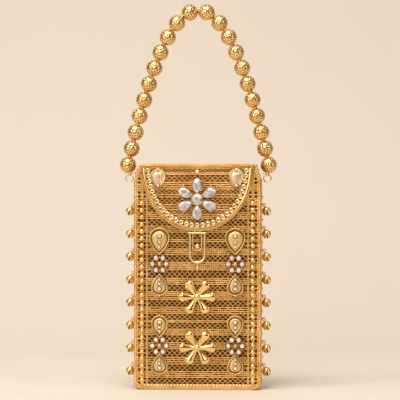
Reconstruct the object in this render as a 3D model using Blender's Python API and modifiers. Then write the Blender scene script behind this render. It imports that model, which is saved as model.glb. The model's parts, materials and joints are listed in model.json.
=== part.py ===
"""Metal phone pouch: an openwork box with a flap, a clasp, side bells and a beaded handle.

Frame: the origin is at the centre of the flat bottom, +Z is up, the front faces -Y
and the width runs along X. Every length is in metres.
"""
import math

import bmesh
import bpy
from mathutils import Matrix, Vector

MM = 0.001
GAP = 0.3 * MM
WELD = 0.001 * MM
FLAT_ANGLE = math.radians(1.0)
SHARP_ANGLE = math.radians(40.0)

# Body
BODY_W = 100.0 * MM
BODY_D = 25.0 * MM
BODY_H = 178.0 * MM
PANEL_T = 1.2 * MM
BAND_T = 1.5 * MM
CORNER_R = 6.0 * MM
CORNER_STEPS = 4
SHOULDER_INSET = 3.5 * MM
SHOULDER_DROP = 12.0 * MM

# Openwork rows of the panels, as heights of their lower and upper edges
FRONT_ROWS = [
    (4.2 * MM, 9.8 * MM), (14.4 * MM, 20.3 * MM), (25.6 * MM, 32.4 * MM), (37.2 * MM, 43.5 * MM),
    (48.0 * MM, 53.6 * MM), (54.9 * MM, 60.4 * MM), (65.4 * MM, 71.4 * MM), (77.6 * MM, 83.6 * MM),
    (88.2 * MM, 95.0 * MM), (101.0 * MM, 107.0 * MM), (111.5 * MM, 117.3 * MM),
    (118.9 * MM, 124.8 * MM),
]
FRONT_COLUMNS = 6
FRONT_FIELD_INSET = 11.5 * MM
FRONT_FIELD_W = BODY_W - 2 * FRONT_FIELD_INSET
BACK_ROWS = [(12.0 * MM, 40.0 * MM), (52.0 * MM, 80.0 * MM), (92.0 * MM, 120.0 * MM),
             (132.0 * MM, 160.0 * MM)]
BACK_COLUMNS = 3
BACK_FIELD_INSET = 8.0 * MM
BACK_FIELD_W = BODY_W - 2 * BACK_FIELD_INSET
MESH_BAR = 1.5 * MM
EDGE_BAR = 4.0 * MM
RAIL_R = 0.7 * MM
RAIL_SINK = 0.2 * MM
RAIL_MIN_SPACE = 4.0 * MM

# Lid: a top plate with an apron that hangs down in front
LID_INSET = 5.5 * MM
LID_HALF_W = BODY_W / 2 - LID_INSET
LID_T = 1.2 * MM
LID_TOP_T = 1.5 * MM
LID_LIP = 0.4 * MM
APRON_DROP = 52.9 * MM
APRON_POWER = 2.1
APRON_STEPS = 8
APRON_LOW_DEPTH = 37.0 * MM
APRON_MIDDLE_DEPTH = 29.0 * MM
APRON_TOP_DEPTH = 14.5 * MM
APRON_ROW_H = 6.0 * MM
APRON_TOP_ROW_H = 7.0 * MM
APRON_SIDE_X = 22.0 * MM
APRON_FAR_PITCH = 6.5 * MM
APRON_TOP_X = 4.5 * MM
APRON_TOP_PITCH = 7.0 * MM
APRON_TOP_COLUMNS = 3
APRON_HOLE_W = 5.2 * MM

# Barrel hinge along the top of the back
HINGE_R = 1.5 * MM
HINGE_PIN_R = 0.6 * MM
HINGE_INSET = 2.5 * MM
HINGE_HALF_L = LID_HALF_W - HINGE_INSET
HINGE_KNUCKLES = 5
HINGE_PLAY = 0.12 * MM
SLEEVE_SIDES = 6
TAB_INSET = 0.15
TAB_REACH = 0.4

# Braided border of the apron and its row of cups
ROPE_R = 1.05 * MM
ROPE_INSET = 1.6 * MM
RIM_T = 0.8 * MM
RIM_OUTER_INSET = 0.9 * MM
RIM_INNER_INSET = 6.8 * MM
CUP_R = 1.85 * MM
CUP_INSET = 4.75 * MM
CUP_COUNT = 31

# Clasp
HASP_STEPS = 8
HASP_DROP_H = 6.6 * MM
HASP_DROP_SHAPE = [(0.0, 0.0), (1.0, 0.15), (0.8, 0.35), (1.9, 0.75), (0.0, 1.0)]
HASP_HALF_W = 5.72 * MM
HASP_WIRE_R = 0.6 * MM
HASP_INNER_HALF_W = 3.46 * MM
HASP_INNER_R = 0.45 * MM
HASP_EYE_R = 1.4 * MM
HASP_EYE_L = 1.2 * MM
HASP_EYE_X = 2.2 * MM
HASP_FORWARD = 1.9 * MM
HASP_PIVOT_Y = -BODY_D / 2 - HASP_FORWARD
HASP_BELOW = 0.9 * MM
HASP_PIVOT_Z = BODY_H - APRON_DROP - HASP_BELOW
HASP_L = 23.2 * MM
HASP_BOTTOM_Z = HASP_PIVOT_Z - HASP_L
HASP_INNER_L = 13.9 * MM
HASP_INNER_BOTTOM_Z = HASP_PIVOT_Z - HASP_INNER_L
STUD_BELOW = 10.6 * MM
STUD_Z = HASP_PIVOT_Z - STUD_BELOW
STUD_R = 2.05 * MM
STUD_FORWARD = 0.8 * MM

# Rows of balls near both front edges
COLUMN_INSET = 6.2 * MM
COLUMN_X = BODY_W / 2 - COLUMN_INSET
COLUMN_BALL_R = 1.85 * MM
COLUMN_NECK_R = 0.9 * MM
COLUMN_PITCH = 5.6 * MM
COLUMN_Z = 5.0 * MM
COLUMN_TOP_SPACE = 27.0 * MM
COLUMN_BALLS = int((BODY_H - COLUMN_TOP_SPACE - COLUMN_Z) / COLUMN_PITCH)

# Handle: balls on a stiff wire that stands as an arch
BEAD_R = 6.5 * MM
BEAD_BORE_R = 1.7 * MM
BEAD_SIDES = 8
BEAD_ARCS = 3
BEAD_GAP = 0.3 * MM
BEAD_PITCH = 2 * BEAD_R + BEAD_GAP
LAST_BEAD_SINK = 0.5 * MM
BEAD_TUCK = 0.6 * MM
ARCH_HALF_W = BODY_W / 2 + BEAD_R - BEAD_TUCK
ARCH_RISE = 122.0 * MM
ARCH_POWER = 2.1
HANDLE_WIRE_R = 0.43 * MM
BEND_AXIS_Z = 0.93

# Rings that join the handle to the lugs
PIVOT_DEPTH = 7.9 * MM
PIVOT_Z = BODY_H - PIVOT_DEPTH
RING_STAND = 4.9 * MM
RING_X = BODY_W / 2 + RING_STAND
RING_R = 3.0 * MM
RING_WIRE_R = 0.42 * MM
EYE_R = 1.15 * MM
EYE_WIRE_R = 0.4 * MM
LUG_EYE_R = 0.9 * MM
LUG_WIRE_R = 0.3 * MM
LUG_OFFSET = 0.7 * MM
LOOP_OFFSET = 0.8 * MM

# Bells down both sides
BELL_R = 3.65 * MM
BELL_PITCH = 18.2 * MM
BELL_TOP_DEPTH = 36.9 * MM
BELL_TOP_Z = BODY_H - BELL_TOP_DEPTH
BELL_FLOOR_SPACE = 6.0 * MM
BELLS_PER_SIDE = 1 + int((BELL_TOP_Z - CORNER_R - BELL_FLOOR_SPACE) / BELL_PITCH)
BELL_DROP = 5.3 * MM
BELL_REACH = 2.2 * MM
STAPLE_REACH = 2.1 * MM
STAPLE_R = 0.4 * MM
BELL_LOOP_R = 1.15 * MM
BELL_LOOP_WIRE_R = 0.35 * MM
BELL_NECK_R = 1.1 * MM

# Ornaments
ORNAMENT_INSET = 20.0 * MM
ORNAMENT_X = BODY_W / 2 - ORNAMENT_INSET
ORNAMENT_T = 1.2 * MM
STONE_H = 1.2 * MM
STONE_RING_R = 5.6 * MM
STONE_R = 1.9 * MM
HUB_SIDES = 8
UPPER_ORNAMENT_DEPTH = 78.5 * MM
UPPER_ORNAMENT_Z = BODY_H - UPPER_ORNAMENT_DEPTH
LOWER_ORNAMENT_Z = 34.8 * MM
UPPER_DROPS = ((14.5 * MM, 18.0 * MM), (12.6 * MM, 14.6 * MM))
LOWER_DROPS = ((12.6 * MM, 14.6 * MM), (12.2 * MM, 13.4 * MM))
LOWER_FLOWER_Z = 33.4 * MM
UPPER_FLOWER_SHARE = 40.1 / 67.6
UPPER_FLOWER_Z = LOWER_FLOWER_Z + (HASP_BOTTOM_Z - LOWER_FLOWER_Z) * UPPER_FLOWER_SHARE
PETAL_TIP = 14.7 * MM
PETAL_W = 6.6 * MM
PETAL_DEPTH = 3.4 * MM
PETAL_SHAPE = [(0.0, 1.0), (0.42, 0.92), (0.5, 0.78), (0.17, 0.2), (0.0, 0.06)]
PETAL_ANGLES = (0.0, 57.0, 123.0, 180.0, 237.0, 303.0)
CRYSTAL_DEPTH = 27.1 * MM
CRYSTAL_Z = BODY_H - CRYSTAL_DEPTH
CRYSTAL_CENTRE_R = 4.5 * MM
CRYSTAL_L = 11.7 * MM
CRYSTAL_W = 8.4 * MM
CRYSTAL_RING_R = 10.6 * MM
CRYSTAL_H = 3.0 * MM
CRYSTAL_ANGLES = (28.0, 90.0, 152.0, 208.0, 270.0, 332.0)
CORNER_DROP_INSET = 13.6 * MM
CORNER_DROP_X = LID_HALF_W - CORNER_DROP_INSET
CORNER_DROP_DEPTH = 10.8 * MM
CORNER_DROP_Z = BODY_H - CORNER_DROP_DEPTH
CORNER_DROP_W = 12.3 * MM
CORNER_DROP_H = 14.3 * MM

# Places worked out from the sizes above
FRONT_Y = -BODY_D / 2
BACK_Y = BODY_D / 2
BAND_HALF_D = BODY_D / 2 - PANEL_T - GAP
MOUTH_HALF_W = LID_HALF_W + GAP
PANEL_TOP_Z = BODY_H - LID_TOP_T - GAP
HINGE_Y = BACK_Y - HINGE_R
HINGE_Z = BODY_H - HINGE_R - GAP
HINGE_BORE_R = HINGE_PIN_R + HINGE_PLAY
LID_REAR_Y = HINGE_Y - HINGE_R - GAP
APRON_BACK_Y = FRONT_Y - GAP
APRON_FRONT_Y = APRON_BACK_Y - LID_T
TRIM_BACK_Y = APRON_FRONT_Y - GAP
PLATE_BACK_Y = FRONT_Y - (RAIL_R - RAIL_SINK) - GAP

COLOURS = {
    "gold_wire": ((0.72, 0.43, 0.16), 0.34),
    "gold_polished": ((0.86, 0.58, 0.24), 0.16),
    "gold_hammered": ((0.78, 0.47, 0.17), 0.28),
    "gold_pale": ((0.80, 0.66, 0.38), 0.30),
    "crystal": ((0.88, 0.88, 0.92), 0.06),
}


def clear_scene():
    """Remove every object, so that the file starts empty."""
    for item in list(bpy.data.objects):
        bpy.data.objects.remove(item, do_unlink=True)


def new_collection(name):
    """Add a collection to the scene."""
    collection = bpy.data.collections.new(name)
    bpy.context.scene.collection.children.link(collection)
    return collection


def make_material(name):
    """A Principled material in one of the part's colours."""
    colour, roughness = COLOURS[name]
    material = bpy.data.materials.new(name)
    material.use_nodes = True
    shader = material.node_tree.nodes["Principled BSDF"]
    shader.inputs["Base Color"].default_value = (*colour, 1.0)
    shader.inputs["Roughness"].default_value = roughness
    shader.inputs["Metallic"].default_value = 0.0 if name == "crystal" else 1.0
    return material


def link_object(name, data):
    """Put new data into the part's collection as an object."""
    item = bpy.data.objects.new(name, data)
    PARTS.objects.link(item)
    return item


def realise(item, flatten=False):
    """Swap an object for its evaluated mesh, in world space, with its seams welded."""
    graph = bpy.context.evaluated_depsgraph_get()
    mesh = bpy.data.meshes.new_from_object(item.evaluated_get(graph))
    mesh.transform(item.matrix_world)
    shell = bmesh.new()
    shell.from_mesh(mesh)
    bmesh.ops.remove_doubles(shell, verts=shell.verts, dist=WELD)
    bmesh.ops.dissolve_degenerate(shell, edges=shell.edges, dist=WELD)
    if flatten:
        bmesh.ops.dissolve_limit(shell, angle_limit=FLAT_ANGLE, verts=shell.verts, edges=shell.edges)
    shell.to_mesh(mesh)
    shell.free()
    result = link_object(item.name, mesh)
    bpy.data.objects.remove(item, do_unlink=True)
    return result


def combine(item, tools, operation="UNION", overlapping=False):
    """Join tools to an object, or cut them from it, with one exact Boolean."""
    merged = merge_meshes(tools)
    modifier = item.modifiers.new("Boolean", "BOOLEAN")
    modifier.operation = operation
    modifier.object = merged
    modifier.use_self = overlapping
    bpy.context.view_layer.update()
    result = realise(item)
    bpy.data.objects.remove(merged, do_unlink=True)
    return result


def merge_meshes(items):
    """Gather loose closed solids into one object, without welding them together."""
    shell = bmesh.new()
    for item in items:
        mesh = item.data.copy()
        mesh.transform(item.matrix_world)
        shell.from_mesh(mesh)
        bpy.data.objects.remove(item, do_unlink=True)
    mesh = bpy.data.meshes.new("pieces")
    shell.to_mesh(mesh)
    shell.free()
    return link_object("pieces", mesh)


def finish(item, name, material, pivot=None, smooth=True):
    """Name a finished solid, give it its material and put its origin on its pivot."""
    item.name = name
    item.data.name = name
    item.data.materials.clear()
    item.data.materials.append(MATERIALS[material])
    if smooth:
        item.data.shade_smooth()
        item.data.set_sharp_from_angle(angle=SHARP_ANGLE)
    if pivot is not None:
        item.data.transform(Matrix.Translation(-pivot))
        item.location = pivot
    return item


def box(low, high):
    """A block between two corners."""
    low, high = Vector(low), Vector(high)
    shell = bmesh.new()
    bmesh.ops.create_cube(shell, size=1.0)
    bmesh.ops.scale(shell, vec=high - low, verts=shell.verts)
    bmesh.ops.translate(shell, vec=(low + high) / 2, verts=shell.verts)
    mesh = bpy.data.meshes.new("box")
    shell.to_mesh(mesh)
    shell.free()
    return link_object("box", mesh)


def ball(centre, radius, sides=8, rings=6, scale=(1.0, 1.0, 1.0), turn=None):
    """A UV sphere, stretched and turned if wanted."""
    shell = bmesh.new()
    bmesh.ops.create_uvsphere(shell, u_segments=sides, v_segments=rings, radius=radius)
    bmesh.ops.scale(shell, vec=scale, verts=shell.verts)
    mesh = bpy.data.meshes.new("ball")
    shell.to_mesh(mesh)
    shell.free()
    mesh.transform(Matrix.Translation(centre) @ (turn or Matrix()))
    return link_object("ball", mesh)


def cone(base, tip, radius, tip_radius, sides=6):
    """A cone or a straight round bar between two points."""
    base, tip = Vector(base), Vector(tip)
    axis = tip - base
    shell = bmesh.new()
    bmesh.ops.create_cone(shell, cap_ends=True, segments=sides, radius1=radius, radius2=tip_radius,
                          depth=axis.length)
    mesh = bpy.data.meshes.new("cone")
    shell.to_mesh(mesh)
    shell.free()
    turn = Vector((0.0, 0.0, 1.0)).rotation_difference(axis).to_matrix().to_4x4()
    mesh.transform(Matrix.Translation((base + tip) / 2) @ turn)
    return link_object("cone", mesh)


def turned(profile, steps, closed=False):
    """Turn a profile of (radius, height) points about Z with a Screw modifier."""
    mesh = bpy.data.meshes.new("turned")
    count = len(profile)
    edges = [(i, i + 1) for i in range(count - 1)]
    if closed:
        edges.append((count - 1, 0))
    mesh.from_pydata([(radius, 0.0, height) for radius, height in profile], edges, [])
    item = link_object("turned", mesh)
    screw = item.modifiers.new("Screw", "SCREW")
    screw.steps = steps
    screw.render_steps = steps
    screw.use_merge_vertices = True
    screw.merge_threshold = WELD
    bpy.context.view_layer.update()
    return realise(item)


def aim(item, centre, axis):
    """Place a solid turned about Z so that its axis runs along another direction."""
    turn = Vector((0.0, 0.0, 1.0)).rotation_difference(Vector(axis)).to_matrix().to_4x4()
    item.data.transform(Matrix.Translation(centre) @ turn)
    return item


def ring(centre, axis, radius, wire_r, steps, sides):
    """A closed ring of round wire."""
    profile = []
    for i in range(sides):
        angle = -2.0 * math.pi * i / sides
        profile.append((radius + wire_r * math.cos(angle), wire_r * math.sin(angle)))
    return aim(turned(profile, steps, closed=True), centre, axis)


def sleeve(centre, axis, radius, bore, length):
    """A short tube, such as a hinge knuckle."""
    half = length / 2
    profile = [(radius, half), (radius, -half), (bore, -half), (bore, half)]
    return aim(turned(profile, SLEEVE_SIDES, closed=True), centre, axis)


def wire(points, radius):
    """A wire through points, as a curve with a bevel, made into a mesh."""
    curve = bpy.data.curves.new("wire", "CURVE")
    curve.dimensions = "3D"
    curve.bevel_depth = radius
    curve.bevel_resolution = 0
    curve.use_fill_caps = True
    spline = curve.splines.new("POLY")
    spline.points.add(len(points) - 1)
    for target, point in zip(spline.points, points):
        target.co = (*point, 1.0)
    item = link_object("wire", curve)
    bpy.context.view_layer.update()
    return realise(item)


def plate(outline, y_back, thickness):
    """A flat plate that faces the front, with its back at a given depth."""
    curve = bpy.data.curves.new("plate", "CURVE")
    curve.dimensions = "2D"
    curve.fill_mode = "BOTH"
    curve.extrude = thickness / 2
    spline = curve.splines.new("POLY")
    spline.points.add(len(outline) - 1)
    for target, (x, z) in zip(spline.points, outline):
        target.co = (x, z, 0.0, 1.0)
    spline.use_cyclic_u = True
    item = link_object("plate", curve)
    item.rotation_euler = (math.radians(90.0), 0.0, 0.0)
    item.location = (0.0, y_back - thickness / 2, 0.0)
    bpy.context.view_layer.update()
    return realise(item, flatten=True)


def strip(outline, y_low, y_high):
    """A profile in the XZ plane, drawn out along Y."""
    return plate(outline, y_high, y_high - y_low)


def mirrored(half):
    """Close a right-hand half outline with its mirror image."""
    return half + [(-x, z) for x, z in reversed(half) if abs(x) > 1e-9]


def diamond(x, low, high, width):
    """The outline of one lozenge-shaped gap."""
    middle = (low + high) / 2
    return [(x - width / 2, middle), (x, low), (x + width / 2, middle), (x, high)]


def rows_below(rows, top):
    """The rows that lie clear of the top edge."""
    return [(low, high) for low, high in rows if high < top - EDGE_BAR]


def gap_rows(rows, columns, field):
    """Rows of lozenge gaps across a panel, with thin bars left between them."""
    pitch = field / columns
    gaps = []
    for low, high in rows:
        for i in range(columns):
            x = (i - (columns - 1) / 2) * pitch
            gaps.append(diamond(x, low, high, pitch - MESH_BAR))
    return gaps


def pierce(panel, gaps, y_back, thickness):
    """Cut the gaps through a panel."""
    cutters = [plate(gap, y_back + thickness, 3 * thickness) for gap in gaps]
    return combine(panel, cutters, "DIFFERENCE")


def corner_arc(radius, inset=0.0):
    """The rounded lower right corner, from the side round to the bottom."""
    centre_x = BODY_W / 2 - CORNER_R
    points = []
    for i in range(CORNER_STEPS + 1):
        angle = math.radians(90.0) * i / CORNER_STEPS
        reach = radius - inset
        points.append((centre_x + reach * math.cos(angle), CORNER_R - reach * math.sin(angle)))
    return points


def shoulder_points():
    """The slanted shoulder on the right, from the top down."""
    return [(BODY_W / 2 - SHOULDER_INSET, BODY_H), (BODY_W / 2, BODY_H - SHOULDER_DROP)]


def panel_outline(top):
    """The front or back outline, notched at the top for the lid."""
    half = [(MOUTH_HALF_W, top), (MOUTH_HALF_W, BODY_H)] + shoulder_points() + corner_arc(CORNER_R)
    return mirrored(half)


def rails(heights, y, half_width):
    """Straight round rails laid across a panel."""
    return [cone((-half_width, y, z), (half_width, y, z), RAIL_R, RAIL_R, sides=4) for z in heights]


def build_front_panel():
    """The openwork front, with rails between its rows of gaps."""
    panel = plate(panel_outline(PANEL_TOP_Z), FRONT_Y + PANEL_T, PANEL_T)
    rows = rows_below(FRONT_ROWS, PANEL_TOP_Z)
    heights = [(low[1] + high[0]) / 2 for low, high in zip(rows, rows[1:])
               if high[0] - low[1] > RAIL_MIN_SPACE]
    half_width = COLUMN_X - COLUMN_BALL_R - GAP
    panel = combine(panel, rails(heights, FRONT_Y + RAIL_SINK, half_width))
    gaps = gap_rows(rows, FRONT_COLUMNS, FRONT_FIELD_W)
    panel = pierce(panel, gaps, FRONT_Y + PANEL_T, PANEL_T)
    return finish(panel, "front_panel", "gold_wire")


def knuckle_spans():
    """The two ends along X of each hinge knuckle, from left to right."""
    length = 2 * HINGE_HALF_L / HINGE_KNUCKLES
    spans = []
    for i in range(HINGE_KNUCKLES):
        start = -HINGE_HALF_L + i * length
        spans.append((start + GAP / 2, start + length - GAP / 2))
    return spans


def knuckle(span):
    """One hinge knuckle."""
    centre = (sum(span) / 2, HINGE_Y, HINGE_Z)
    return sleeve(centre, (1.0, 0.0, 0.0), HINGE_R, HINGE_BORE_R, span[1] - span[0])


def build_back_panel():
    """The openwork back, which carries every other hinge knuckle."""
    top = HINGE_Z - HINGE_R - GAP
    panel = plate(panel_outline(top), BACK_Y, PANEL_T)
    gaps = gap_rows(rows_below(BACK_ROWS, top), BACK_COLUMNS, BACK_FIELD_W)
    panel = pierce(panel, gaps, BACK_Y, PANEL_T)
    pieces = []
    for span in knuckle_spans()[0::2]:
        pieces.append(knuckle(span))
    panel = combine(panel, pieces)
    tabs = []
    for span in knuckle_spans()[0::2]:
        low = (span[0] + GAP, BACK_Y - PANEL_T * (1.0 - TAB_INSET), top - PANEL_T)
        high = (span[1] - GAP, BACK_Y - PANEL_T * TAB_INSET, HINGE_Z - HINGE_R * TAB_REACH)
        tabs.append(box(low, high))
    panel = combine(panel, tabs)
    return finish(panel, "back_panel", "gold_wire")


def side_place(side, index):
    """The pivot of one bell, counted from the top."""
    z = BELL_TOP_Z + BELL_DROP - index * BELL_PITCH
    return Vector((side * (BODY_W / 2 + STAPLE_REACH), 0.0, z))


def staple(side, z):
    """A half-round staple on a side wall, which a bell hangs from."""
    points = []
    for i in range(4):
        angle = math.pi * (i / 3 - 0.5)
        reach = BODY_W / 2 - BAND_T / 2 + (STAPLE_REACH + BAND_T / 2) * math.cos(angle)
        points.append((side * reach, STAPLE_REACH * math.sin(angle), z))
    return wire(points, STAPLE_R)


def lug(side):
    """The eye on a shoulder that a handle ring hangs in."""
    x = side * (RING_X - LUG_OFFSET)
    eye = ring((x, 0.0, PIVOT_Z), (1.0, 0.0, 0.0), LUG_EYE_R, LUG_WIRE_R, steps=8, sides=4)
    stem_z = PIVOT_Z + LUG_EYE_R
    stem = cone((side * (BODY_W / 2 - 2 * BAND_T), 0.0, stem_z), (x + side * LUG_WIRE_R / 2, 0.0, stem_z),
                LUG_WIRE_R * 0.95, LUG_WIRE_R * 0.95, sides=6)
    return eye, stem


def build_side_band():
    """One folded strip: both sides, the bottom and the shoulders beside the lid."""
    outer = shoulder_points() + corner_arc(CORNER_R)
    inner_x = BODY_W / 2 - BAND_T
    inner = [(MOUTH_HALF_W, BODY_H), (MOUTH_HALF_W, BODY_H - SHOULDER_DROP * 0.6),
             (inner_x, BODY_H - SHOULDER_DROP)]
    inner += corner_arc(CORNER_R, inset=BAND_T)
    outline = outer + [(-x, z) for x, z in reversed(outer)] + [(-x, z) for x, z in inner]
    outline += [(x, z) for x, z in reversed(inner)]
    band = strip(outline, -BAND_HALF_D, BAND_HALF_D)
    staples = [staple(side, side_place(side, i).z) for side in (-1, 1) for i in range(BELLS_PER_SIDE)]
    band = combine(band, staples)
    for side in (-1, 1):
        eye, stem = lug(side)
        band = combine(band, [stem])
        band = combine(band, [eye])
    return finish(band, "side_band", "gold_wire")


def build_bead_column(side, name):
    """A vertical row of balls in one piece, laid on the front near its edge."""
    profile = [(0.0, COLUMN_BALLS * COLUMN_PITCH)]
    for i in reversed(range(COLUMN_BALLS)):
        base = i * COLUMN_PITCH
        profile.append((COLUMN_NECK_R, base + COLUMN_PITCH * 0.98))
        profile.append((COLUMN_BALL_R, base + COLUMN_PITCH * 0.5))
    profile.append((COLUMN_NECK_R, 0.0))
    profile.append((0.0, 0.0))
    column = turned(profile, 4)
    centre = (side * COLUMN_X, FRONT_Y - GAP - COLUMN_BALL_R, COLUMN_Z)
    return finish(aim(column, centre, (0.0, 0.0, 1.0)), name, "gold_polished")


def drop_outline(x, z, width, height, point_up, steps=9):
    """A teardrop, with its point up or down."""
    sign = -1.0 if point_up else 1.0
    points = []
    for i in range(steps):
        angle = 2.0 * math.pi * i / steps
        bulge = math.sin(angle / 2) ** 0.9
        points.append((x + width * 0.56 * math.sin(angle) * bulge, z - sign * height / 2 * math.cos(angle)))
    return points


def circle(x, z, radius):
    """A round outline with few sides."""
    turns = [2.0 * math.pi * i / HUB_SIDES for i in range(HUB_SIDES)]
    return [(x + radius * math.cos(turn), z + radius * math.sin(turn)) for turn in turns]


def stone(x, y, z, radius, sides=5):
    """A small pointed stone that stands forward from a plate."""
    return cone((x, y + STONE_H / 4, z), (x, y - STONE_H, z), radius, 0.0, sides=sides)


def build_ornament(name, x, z, top_size, bottom_size):
    """A ring of six stones between two drops."""
    y_face = PLATE_BACK_Y - ORNAMENT_T
    reach = STONE_RING_R + STONE_R * 0.7
    hub = circle(x, z, reach)
    body = plate(hub, PLATE_BACK_Y, ORNAMENT_T)
    stones = []
    for i in range(6):
        angle = math.radians(60.0 * i)
        place = (x + STONE_RING_R * math.cos(angle), y_face, z + STONE_RING_R * math.sin(angle))
        stones.append(stone(*place, STONE_R))
    stones.append(stone(x, y_face, z, STONE_R * 0.8))
    for (width, height), side in ((top_size, 1), (bottom_size, -1)):
        centre = z + side * (reach + height / 2 - ORNAMENT_T)
        drop = drop_outline(x, centre, width, height, side < 0)
        body = combine(body, [plate(drop, PLATE_BACK_Y, ORNAMENT_T)])
    return finish(combine(body, stones), name, "gold_pale")


def build_gold_flower(name, z):
    """Six long petals with round ends, about a ball."""
    y = PLATE_BACK_Y - PETAL_DEPTH / 2
    profile = [(PETAL_W * width, PETAL_TIP * reach) for width, reach in PETAL_SHAPE]
    petals = []
    for angle in PETAL_ANGLES:
        petal = turned(profile, 5)
        petal.data.transform(Matrix.Diagonal((1.0, PETAL_DEPTH / PETAL_W, 1.0, 1.0)))
        turn = Matrix.Rotation(math.radians(90.0 - angle), 4, "Y")
        petal.data.transform(Matrix.Translation((0.0, y, z)) @ turn)
        petals.append(petal)
    centre = ball((0.0, y, z), PETAL_W / 2, sides=8, rings=4, scale=(1.0, PETAL_DEPTH / PETAL_W, 1.0))
    return finish(combine(centre, petals, overlapping=True), name, "gold_polished")


def build_ball_stud():
    """The button that the clasp drops over."""
    y_ball = HASP_PIVOT_Y - STUD_FORWARD
    stem = cone((0.0, PLATE_BACK_Y, STUD_Z), (0.0, y_ball, STUD_Z), STUD_R * 0.75, STUD_R * 0.5, sides=8)
    stud = combine(stem, [ball((0.0, y_ball, STUD_Z), STUD_R, turn=Matrix.Rotation(math.pi / 2, 4, "X"))])
    return finish(stud, "ball_stud", "gold_polished")


def build_hinge_pin():
    """The pin through all the knuckles."""
    low = (-HINGE_HALF_L + GAP, HINGE_Y, HINGE_Z)
    pin = cone(low, (HINGE_HALF_L - GAP, HINGE_Y, HINGE_Z), HINGE_PIN_R, HINGE_PIN_R, sides=8)
    return finish(pin, "hinge_pin", "gold_polished")


def apron_half(inset=0.0):
    """The right half of the apron's edge, from the top down to the tip."""
    half_width = LID_HALF_W - inset
    drop = APRON_DROP - inset
    points = []
    for i in range(APRON_STEPS + 1):
        angle = math.radians(90.0) * i / APRON_STEPS
        x = half_width * max(math.cos(angle), 0.0) ** (2.0 / APRON_POWER)
        z = BODY_H - drop * math.sin(angle) ** (2.0 / APRON_POWER)
        points.append((0.0 if i == APRON_STEPS else x, z))
    return points


def apron_rows():
    """The apron's rows of gaps: lower edge, height and places to one side of the middle."""
    top_places = [APRON_TOP_X + i * APRON_TOP_PITCH for i in range(APRON_TOP_COLUMNS)]
    return [
        (BODY_H - APRON_LOW_DEPTH, APRON_ROW_H, [APRON_SIDE_X]),
        (BODY_H - APRON_MIDDLE_DEPTH, APRON_ROW_H, [APRON_SIDE_X, APRON_SIDE_X + APRON_FAR_PITCH]),
        (BODY_H - APRON_TOP_DEPTH, APRON_TOP_ROW_H, top_places),
    ]


def build_lid_shell():
    """The top plate with its hinge knuckles, and the apron with the eyes of the clasp."""
    gaps = []
    for low, height, places in apron_rows():
        for x in places:
            for side in (-1, 1):
                gaps.append(diamond(side * x, low, low + height, APRON_HOLE_W))
    edge = [(x - LID_LIP / 2 if i == 0 else x, min(z, BODY_H - LID_TOP_T / 2))
            for i, (x, z) in enumerate(apron_half())]
    apron = pierce(plate(mirrored(edge), APRON_BACK_Y, LID_T), gaps, APRON_BACK_Y, LID_T)
    top_low = (-LID_HALF_W, APRON_FRONT_Y - LID_LIP, BODY_H - LID_TOP_T)
    shell = combine(apron, [box(top_low, (LID_HALF_W, LID_REAR_Y, BODY_H))])
    knuckles = [knuckle(span) for span in knuckle_spans()[1::2]]
    eyes = []
    for side in (-1, 1):
        centre = (side * HASP_EYE_X, HASP_PIVOT_Y, HASP_PIVOT_Z)
        eyes.append(sleeve(centre, (1.0, 0.0, 0.0), HASP_EYE_R, HASP_WIRE_R + GAP, HASP_EYE_L))
    tabs = []
    for span in knuckle_spans()[1::2]:
        low = (span[0] + GAP, LID_REAR_Y - LID_TOP_T, BODY_H - LID_TOP_T * (1.0 - TAB_INSET))
        high = (span[1] - GAP, HINGE_Y - HINGE_BORE_R, HINGE_Z + HINGE_R * (1.0 - TAB_INSET))
        tabs.append(box(low, high))
    for side in (-1, 1):
        x = side * HASP_EYE_X
        low = (x - HASP_EYE_L * 0.4, APRON_FRONT_Y + LID_T * TAB_INSET, HASP_PIVOT_Z + HASP_EYE_R * 0.75)
        high = (x + HASP_EYE_L * 0.4, APRON_BACK_Y - LID_T * TAB_INSET, BODY_H - APRON_DROP + LID_T)
        tabs.append(box(low, high))
    shell = combine(shell, knuckles + eyes)
    shell = combine(shell, tabs)
    pivot = Vector((0.0, HINGE_Y, HINGE_Z))
    return finish(shell, "lid_shell", "gold_wire", pivot)


def along(points, spacing_count):
    """Places spread evenly along a line of points."""
    lengths = [math.dist(a, b) for a, b in zip(points, points[1:])]
    total = sum(lengths)
    places = []
    for i in range(spacing_count):
        target = total * (i + 0.5) / spacing_count
        for start, end, length in zip(points, points[1:], lengths):
            if target <= length:
                share = target / length
                places.append((start[0] + (end[0] - start[0]) * share,
                               start[1] + (end[1] - start[1]) * share))
                break
            target -= length
    return places


def whole_edge(inset):
    """The whole edge of the apron at an inset, from top right to top left."""
    half = apron_half(inset)
    return half + [(-x, z) for x, z in reversed(half[:-1])]


def below(edge, top):
    """An edge with its points kept under a height."""
    return [(x, min(z, top)) for x, z in edge]


def build_lid_rim():
    """The braided border with its row of small round cups."""
    top = BODY_H - LID_TOP_T - GAP
    outer = below(whole_edge(RIM_OUTER_INSET), top)
    inner = below(whole_edge(RIM_INNER_INSET), top)
    band = plate(outer + list(reversed(inner)), TRIM_BACK_Y, RIM_T)
    rope_y = TRIM_BACK_Y - RIM_T / 2 - ROPE_R * 0.9
    rope = wire([(x, rope_y, z) for x, z in below(whole_edge(ROPE_INSET), top - GAP)], ROPE_R)
    band = combine(band, [rope])
    cups = []
    for x, z in along(below(whole_edge(CUP_INSET), top), CUP_COUNT):
        cups.append(stone(x, TRIM_BACK_Y - RIM_T, z, CUP_R, sides=4))
    pivot = Vector((0.0, HINGE_Y, HINGE_Z))
    return finish(combine(band, cups), "lid_rim", "gold_pale", pivot)


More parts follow.
